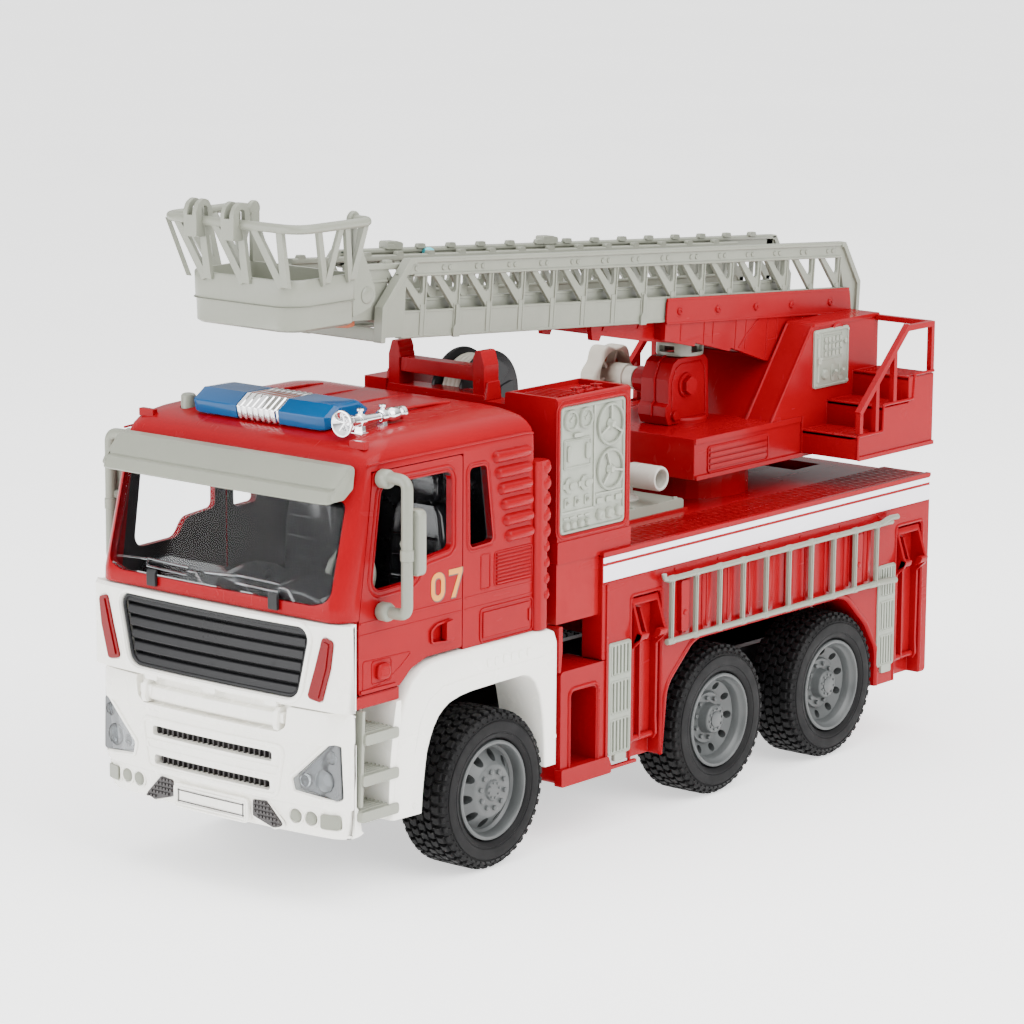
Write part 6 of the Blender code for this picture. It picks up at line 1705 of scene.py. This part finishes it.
def outer_side(near):
    """One side of the fixed ladder: deep lower rail, flat top rail, Y-shaped stays."""
    y_first, pitch, n = -284.0, 22.0, 15
    out = []
    # end plates
    out.append(prism("x", fillet([(-294.2, 37.7), (-311, 17.5), (-311, 4.8), (-295.5, 4.8), (-295.5, 31.0), (-288.0, 31.0), (-288.0, 37.7)], [3, 3, 0.8, 0.5, 2, 0.3, 0.3], 4), 19.4, 21.6))
    out.append(prism("x", fillet([(-290.5, 37.9), (-294.6, 37.9), (-311.4, 17.8), (-311.4, 2.8), (-308.6, 2.8), (-308.6, 17.0), (-292.9, 35.6), (-290.5, 35.6)], 0.6, 2), 18.4, 23.0))
    out.append(prism("x", fillet([(20.6, 37.7), (27.1, 37.7), (41.4, 18.4), (41.2, 4.8), (33, 4.8), (24.0, 31.0), (20.6, 31.0)], [0.3, 3, 2, 1, 0.6, 1, 0.3], 4), 19.4, 21.6))
    out.append(prism("x", fillet([(24.5, 37.9), (27.6, 37.9), (42.0, 18.6), (42.0, 2.5), (39.4, 2.5), (39.4, 17.4), (26.0, 35.6), (24.5, 35.6)], 0.6, 2), 18.4, 23.0))
    # top rail, a shallow channel with a rounded lip
    out.append(prism("x", [(-292, 31.0), (26.0, 31.0), (26.0, 37.0), (-292, 37.0)], 19.4, 21.5))
    out.append(prism("y", fillet([(18.4, 35.9), (22.6, 35.9), (22.6, 38.0), (18.4, 38.0)], 0.7, 3), -293.0, 27.2))
    out.append(prism("y", fillet([(19.2, 30.2), (22.1, 30.2), (22.1, 31.5), (19.2, 31.5)], 0.45, 2), -291.0, 25.6))
    # lower rail
    out.append(prism("x", [(-297, 4.8), (34, 4.8), (34, 15.2), (-297, 15.2)], 19.4, 21.3))
    out.append(prism("y", fillet([(19.0, 14.6), (21.5, 14.6), (21.5, 15.8), (19.0, 15.8)], 0.4, 2), -297.0, 34.0))
    out.append(prism("y", fillet([(17.6, 4.0), (21.6, 4.0), (21.6, 5.4), (17.6, 5.4)], 0.4, 2), -297.0, 36.0))
    for k in range(n):
        y = y_first + pitch * k
        # stem over the lower rail, upright arm, slanting arm
        out.append(prism("x", [(y - 1.7, 4.6), (y + 1.7, 4.6), (y + 1.7, 18.2), (y - 1.7, 18.2)], 19.6, 21.75))
        out.append(prism("x", fillet([(y - 1.7, 16.0), (y + 1.7, 16.0), (y + 2.6, 31.6), (y - 0.6, 31.6), (y - 0.2, 20.5), (y - 12.6, 31.6), (y - 16.6, 31.6)],
                                     [0, 0, 0, 0, 1.6, 0, 0], 3), 19.6, 21.4))
        out.append(prism("x", [(y + 0.6, 4.9), (y + 1.5, 4.9), (y + 1.9, 31.2), (y + 1.1, 31.2)], 21.2, 22.0))
        for dy in (-9.6, -5.4):
            if -290 < y + dy < 22:
                out.append(lathe("x", (y + dy, 33.6), [(0, 21.3), (1.25, 21.3), (1.25, 21.8), (0.9, 22.1), (0, 22.1)], 14))
    for y in (-262.0, -130.0, -41.0):
        out.append(prism("x", fillet([(y - 2.2, 3.6), (y + 2.2, 3.6), (y + 2.2, 15.6), (y + 0.4, 17.6), (y - 1.0, 17.6), (y - 1.0, 9.2), (y - 2.2, 7.4)], 0.5, 2),
                         21.2, 22.6 if y < -120 else 21.85))
    return out


ol = outer_side(True) + mir(outer_side(False))
for k in range(15):
    y = -276.0 + 22.0 * k
    ol.append(tube([(-19.8, y, 8.2), (19.8, y, 8.2)], 1.35, 10))
for y in (-309.6, 39.6):
    ol.append(prism("x", fillet([(y - 1.5, 3.0), (y + 1.5, 3.0), (y + 1.5, 8.6), (y - 1.5, 8.6)], 0.6, 3), -19.6, 19.6))
for k in range(5):
    y = -240 + 66 * k
    ol.append(prism("x", [(y - 2, 4.2), (y + 2, 4.2), (y + 2, 6.2), (y - 2, 6.2)], -19.6, 19.6))
# notched lugs along the far rail's inner lip
for k in range(15):
    y = -282.0 + 20.6 * k
    ol.append(prism("x", fillet([(y - 3.0, 37.6), (y + 3.0, 37.6), (y + 2.2, 39.8), (y - 2.2, 39.8)], 0.6, 2), -19.6, -17.4))
put_b("fixed_ladder", ol, SAGE, "boom", bevel=0.22, seg=2, limit=40, rep=["outer_ladder"], slot="sage")
for _y, _n in ((-258.0, "a"), (-150.0, "b")):
    put_b("ladder_hook_" + _n, [prism("x", fillet([(_y - 6, 37.4), (_y + 5, 37.4), (_y + 5, 40.4), (_y + 1, 41.2), (_y - 6, 41.2)], 1.0, 3), -22.4, -17.6)],
          SAGE, "boom", bevel=0.3, slot="sage")
put_b("ladder_pin", [lathe("y", (-17.3, 36.2), [(0, -239.4), (1.2, -239.4), (1.9, -237.6), (1.9, -235.6), (1.2, -233.8), (0, -233.8)], 16)], CYAN, "boom", bevel=0, slot="sage")


def inner_side():
    out = [prism("x", fillet([(-334, 24.0), (-334, 13.4), (-330, 12.0), (-302, 12.0), (-302, 34.0), (-328, 34.0)], [2, 1, 1, 0.4, 0.4, 3], 3), 14.4, 16.4)]
    out.append(prism("x", [(-303, 12.0), (-10, 12.0), (-10, 20.0), (-303, 20.0)], 14.4, 16.4))
    out.append(prism("y", fillet([(13.9, 33.0), (17.3, 33.0), (17.3, 35.6), (13.9, 35.6)], 0.6, 3), -328.0, -10.0))
    out.append(prism("y", fillet([(14.1, 19.0), (16.8, 19.0), (16.8, 20.4), (14.1, 20.4)], 0.4, 2), -303.0, -10.0))
    out.append(prism("y", fillet([(14.2, 27.6), (16.9, 27.6), (16.9, 28.9), (14.2, 28.9)], 0.4, 2), -333.0, -302.0))
    for k in range(14):
        y = -292.0 + 21.0 * k
        out.append(prism("x", fillet([(y - 1.3, 19.0), (y + 1.3, 19.0), (y + 1.7, 33.4), (y - 0.7, 33.4), (y - 0.4, 22.6), (y - 9.4, 33.4), (y - 12.6, 33.4)],
                                     [0, 0, 0, 0, 1.2, 0, 0], 3), 14.6, 16.2))
    for k in range(15):
        y = -322.0 + 21.0 * k
        out.append(prism("x", fillet([(y - 2.6, 35.2), (y + 2.6, 35.2), (y + 1.8, 37.0), (y - 1.8, 37.0)], 0.5, 2), 13.9, 16.2))
    out.append(prism("x", [(-14.2, 11.9), (-9.7, 11.9), (-9.7, 35.2), (-14.2, 35.2)], 14.25, 16.5))
    return out


il = inner_side() + mir(inner_side())
for k in range(17):
    y = -326.0 + 19.4 * k
    il.append(tube([(-14.8, y, 15.6), (14.8, y, 15.6)], 1.3, 10))
for y in (-300, -240, -180, -120, -60):
    il.append(prism("x", [(y - 2.4, 12.2), (y + 2.4, 12.2), (y + 2.4, 13.8), (y - 2.4, 13.8)], -14.6, 14.6))
put_b("sliding_ladder", il, SAGE, "inner_ladder", bevel=0.08, seg=1, limit=40, rep=["inner_ladder"], slot="sage")
put("ladder_tip_bracket", [moved(x, MB) for x in (
    prism("x", fillet([(-333, 9.6), (-322, 8.8), (-318, 9.4), (-318, 12.4), (-333, 12.4)], 0.8, 3), -13.6, 13.6),)] +
    [tube([(-17.2, -178, 245), (17.2, -178, 245)], 1.9, 16)], BRACKET, "inner_ladder", bevel=0.3, slot="red")


# ------------------------------------------------------------------ bucket
def ring_at(xh, y0, y1, r, z):
    return [(x, y, z) for x, y in fillet([(-xh, y0), (xh, y0), (xh, y1), (-xh, y1)], [r, r, 3.0, 3.0], 7)]


bk = [loft([ring_at(28.2, -222.6, -187.2, 8.0, 233.7), ring_at(29.4, -224.2, -186.0, 9.4, 234.7), ring_at(29.6, -224.5, -185.8, 9.6, 243.9),
            ring_at(30.0, -225.0, -185.4, 10.0, 244.5), ring_at(30.2, -225.2, -185.2, 10.0, 254.4), ring_at(29.9, -224.9, -185.5, 9.8, 255.2),
            ring_at(28.4, -223.4, -187.0, 8.6, 255.2), ring_at(28.2, -223.0, -187.2, 8.4, 236.2)])]
rail = round_path([(27.5, -185.6, 277.2), (38, -185.6, 277.2), (38, -229.5, 277.2), (-38, -229.5, 277.2), (-38, -185.6, 277.2), (-27.5, -185.6, 277.2)], 9.5, 9)
bk.append(tube(rail, 1.95, 18))


def flat_bar(p, q, w0, w1, t, out):
    """Tapered flat stay from p to q; out is the outward direction."""
    p, q, n = Vector(p), Vector(q), Vector(out).normalized()
    d = (q - p).normalized()
    s = d.cross(n).normalized()
    bm = bmesh.new()
    vs = [bm.verts.new(e + s * (w / 2) * a + n * (t / 2) * b) for e, w in ((p, w0), (q, w1)) for a, b in ((-1, -1), (1, -1), (1, 1), (-1, 1))]
    for f in ((0, 1, 2, 3), (4, 5, 6, 7), (0, 1, 5, 4), (1, 2, 6, 5), (2, 3, 7, 6), (3, 0, 4, 7)):
        bm.faces.new([vs[i] for i in f])
    return clean(bm)


zt, zb = 276.4, 252.6
for x in (27.0, 5.6, -15.8):
    bk.append(flat_bar((x, -225.3, zb), (x + 0.6, -229.3, zt), 4.2, 3.4, 2.2, (0, -1, 0.15)))
    bk.append(flat_bar((x - 1.4, -225.3, zb), (x - 13.6, -229.3, zt), 3.6, 3.2, 2.2, (0, -1, 0.15)))
for s in (1, -1):
    for yb, yt, yd in ((-204.6, -203.8, -217.4), (-189.2, -188.6, -200.6)):
        bk.append(flat_bar((s * 30.2, yb, zb), (s * 37.6, yt, zt), 3.6, 2.8, 2.0, (s, 0, 0.3)))
        bk.append(flat_bar((s * 30.2, yb - 1.2, zb), (s * 37.6, yd, zt), 4.0, 3.4, 2.0, (s, 0, 0.3)))
    bk.append(flat_bar((s * 29.0, -223.6, zb), (s * 36.4, -228.2, zt), 2.6, 2.4, 2.2, (s, -1, 0.2)) if s < 0 else
              flat_bar((29.4, -187.0, 253), (33.6, -186.2, zt), 2.4, 2.4, 2.0, (0, 1, 0.2)))
    ear = fillet([(-186.6, 273.0), (-184.4, 273.0), (-172.9, 247.6), (-172.4, 243.4), (-175.8, 239.6), (-186.6, 236.6)], [0.5, 1.5, 2.5, 2.5, 2.0, 0.5], 4)
    bk.append(prism("x", ear, *sorted((s * 26.3, s * 28.8))))
    bk.append(lathe("x", (-178.0, 245.0), [(0, s * 28.6), (3.6, s * 28.6), (3.6, s * 29.1), (2.8, s * 29.6), (0, s * 29.6)], 24))
    bk.append(lathe("x", (-185.6, 277.2), [(0, s * 27.0), (3.1, s * 27.0), (3.5, s * 27.5), (3.5, s * 28.8), (3.0, s * 29.3), (0, s * 29.3)], 24))
    bk.append(prism("x", fillet([(-187.6, 255), (-183.6, 255), (-183.4, 276), (-187.8, 276)], 0.6, 2), *sorted((s * 26.4, s * 28.6))))
for x in (-17.6, 3.2):
    plate = fillet([(-233.6, 270.6), (-226.6, 270.6), (-225.0, 275.0), (-224.6, 281.2), (-227.0, 285.4), (-230.0, 286.4), (-233.2, 284.6), (-234.8, 281.0)],
                   [0.8, 0.8, 2, 3, 3, 3, 3, 3], 4)
    slot_ = fillet([(-230.6, 276.4), (-228.4, 276.4), (-228.4, 282.6), (-230.6, 282.6)], 1.0, 3)
    for dx in (-2.6, 2.6):
        bk.append(cut(prism("x", plate, x + dx - 1.1, x + dx + 1.1), [prism("x", offset(slot_, 0.6), x - 6, x + 6)]))
    bk.append(prism("y", fillet([(x - 3.6, 270.8), (x + 3.6, 270.8), (x + 3.6, 279.6), (x - 3.6, 279.6)], 1.0, 3), -234.6, -231.8))
bk.append(loft([ring_at(30.45, -225.45, -185.0, 10.0, z) for z in (243.9, 244.2)]))
for k in range(6):
    bk.append(tube([(-26, -218 + 5.6 * k, 236.4), (26, -218 + 5.6 * k, 236.4)], 0.6, 6))
put("bucket_body", bk, SAGE, "bucket", bevel=0.2, seg=2, limit=42, rep=["bucket"], slot="sage")
put("bucket_knob", [lathe("z", (6.0, -201.0), [(0, 236.2), (3.6, 236.2), (3.8, 240.0), (3.0, 242.4), (1.4, 243.4), (0, 243.6)], 20)] +
    [tube([(6 + 3.4 * math.cos(t), -201 + 3.4 * math.sin(t), 237), (6 + 3.4 * math.cos(t), -201 + 3.4 * math.sin(t), 242)], 0.8, 6) for t in [k * math.pi / 4 for k in range(8)]],
    PANEL, "bucket", bevel=0.1, slot="sage")


# ------------------------------------------------------------------ plain nodes that keep their CAD shape
KEEP = {"rubber": RUBBER, "rim_grey": RIM, "black": BLACK, "steel": STEEL, "chrome": CHROME, "blue": BLUE, "clear": GLASS,
        "cream": CREAM, "sage": SAGE, "red": RED, "white": WHITE}
slots = {s["node"]: s["material_slot"] for s in frame["record"]["subparts"]}
for _n, _o in NODES.items():
    _o.data.materials.clear()
    _o.data.materials.append(KEEP[slots[_n]])
    if not _o.hide_render:
        w = _o.modifiers.new("join", "WELD")
        w.merge_threshold = 0.00002
        b = _o.modifiers.new("moulded_edge", "BEVEL")
        b.width = 0.0004
        b.segments = 2
        b.limit_method = "ANGLE"
        b.angle_limit = math.radians(34)
        b.harden_normals = True


# ------------------------------------------------------------------ painted shade: inner faces of the cab and doors get a dark material
# painted shade: a near-black material on the inside faces of the red cab shell and doors, standing in for the shade
# inside the cab
CAB_PAINTED_SHADE = plastic("cab_inner_painted_shade", (0.030, 0.024, 0.026), rough=0.42, var=0.12, spec=0.2)
_c = world(Vector((0, -170, 150)))
for _o in bpy.data.objects:
    if _o.type == "MESH" and (_o.name.startswith("cab_body") or _o.name.startswith("door_panel")):
        _o.data.materials.append(CAB_PAINTED_SHADE)
        _mw = _o.matrix_world
        _rot = _mw.to_3x3()
        for _p in _o.data.polygons:
            q = _mw @ _p.center
            nn = (_rot @ _p.normal).normalized()
            x, y, z = q.x / 0.00105, q.y / 0.00105 - 26.8, q.z / 0.00105
            if abs(x) > 70.6 or y < -226 or z < 88 or y > -108:
                continue
            side = abs(nn.x) > 0.8 and nn.x * x < 0
            back = nn.y < -0.8 and y > -150
            top = nn.z < -0.6 and z > 150
            if side or back or top:
                _p.material_index = len(_o.data.materials) - 1


# ------------------------------------------------------------------ studio
def stage_plane():
    me = bpy.data.meshes.new("floor")
    bm = bmesh.new()
    bmesh.ops.create_grid(bm, x_segments=8, y_segments=8, size=6.0)
    bm.to_mesh(me)
    bm.free()
    o = bpy.data.objects.new("floor", me)
    bpy.context.scene.collection.objects.link(o)
    k = Nodes("floor_paper")
    slow = k.noise(3.0, 3.0)
    k.link(k.mix(k.remap(slow, 0.3, 0.7, 0.0, 1.0), (0.90, 0.90, 0.895), (0.94, 0.94, 0.935)), k.bsdf.inputs["Base Color"])
    k.link(k.remap(k.noise(300.0), 0.3, 0.7, 0.7, 0.9), k.bsdf.inputs["Roughness"])
    k.bsdf.inputs["Specular IOR Level"].default_value = 0.1
    k.bsdf.inputs["Emission Color"].default_value = (1.0, 1.0, 1.0, 1.0)
    k.bsdf.inputs["Emission Strength"].default_value = 1.0
    me.materials.append(k.m)
    o.location = (0, 0, -0.0004)


stage_plane()
w = bpy.data.worlds.new("studio")
bpy.context.scene.world = w
w.use_nodes = True
wt = w.node_tree
wc = wt.nodes.new("ShaderNodeTexCoord")
ws = wt.nodes.new("ShaderNodeSeparateXYZ")
wr = wt.nodes.new("ShaderNodeMapRange")
wt.links.new(wc.outputs["Generated"], ws.inputs[0])
wt.links.new(ws.outputs["Z"], wr.inputs["Value"])
wr.inputs["From Min"].default_value = 0.12
wr.inputs["From Max"].default_value = 0.75
wr.inputs["To Min"].default_value = 0.45
wr.inputs["To Max"].default_value = 1.9
wt.links.new(wr.outputs["Result"], wt.nodes["Background"].inputs[1])
wt.nodes["Background"].inputs[0].default_value = (1.0, 1.0, 1.0, 1)


def area(name, at, target, size, power, size_y=None):
    li = bpy.data.lights.new(name, "AREA")
    li.shape = "RECTANGLE"
    li.size = size
    li.size_y = size_y or size
    li.energy = power
    o = bpy.data.objects.new(name, li)
    o.location = at
    o.rotation_euler = (Vector(target) - Vector(at)).to_track_quat("-Z", "Y").to_euler()
    bpy.context.scene.collection.objects.link(o)


area("key", (1.1, -0.1, 0.9), (0, 0.0, 0.12), 1.1, 26.0, 1.3)
area("top", (0.0, 0.1, 1.3), (0, 0, 0.1), 1.2, 13.0, 1.4)
area("front_fill", (-0.5, -1.3, 0.5), (0, -0.1, 0.15), 1.0, 17.0, 0.9)

cam = bpy.data.cameras.new("camera")
cam.lens = 3937.078 / 1024 * 36.0
cam.sensor_width = 36.0
cam.clip_start = 0.05
cam.clip_end = 30
co = bpy.data.objects.new("camera", cam)
bpy.context.scene.collection.objects.link(co)
bpy.context.scene.camera = co
right = Vector((0.7721468, 0.63540912, 0.00667596))
up = Vector((-0.12787274, 0.14508227, 0.98112165))
back = Vector((0.62244508, -0.75842362, 0.19327632))
co.matrix_world = Matrix(((right.x, up.x, back.x, 1.15495), (right.y, up.y, back.y, -1.42884), (right.z, up.z, back.z, 0.49573), (0, 0, 0, 1)))
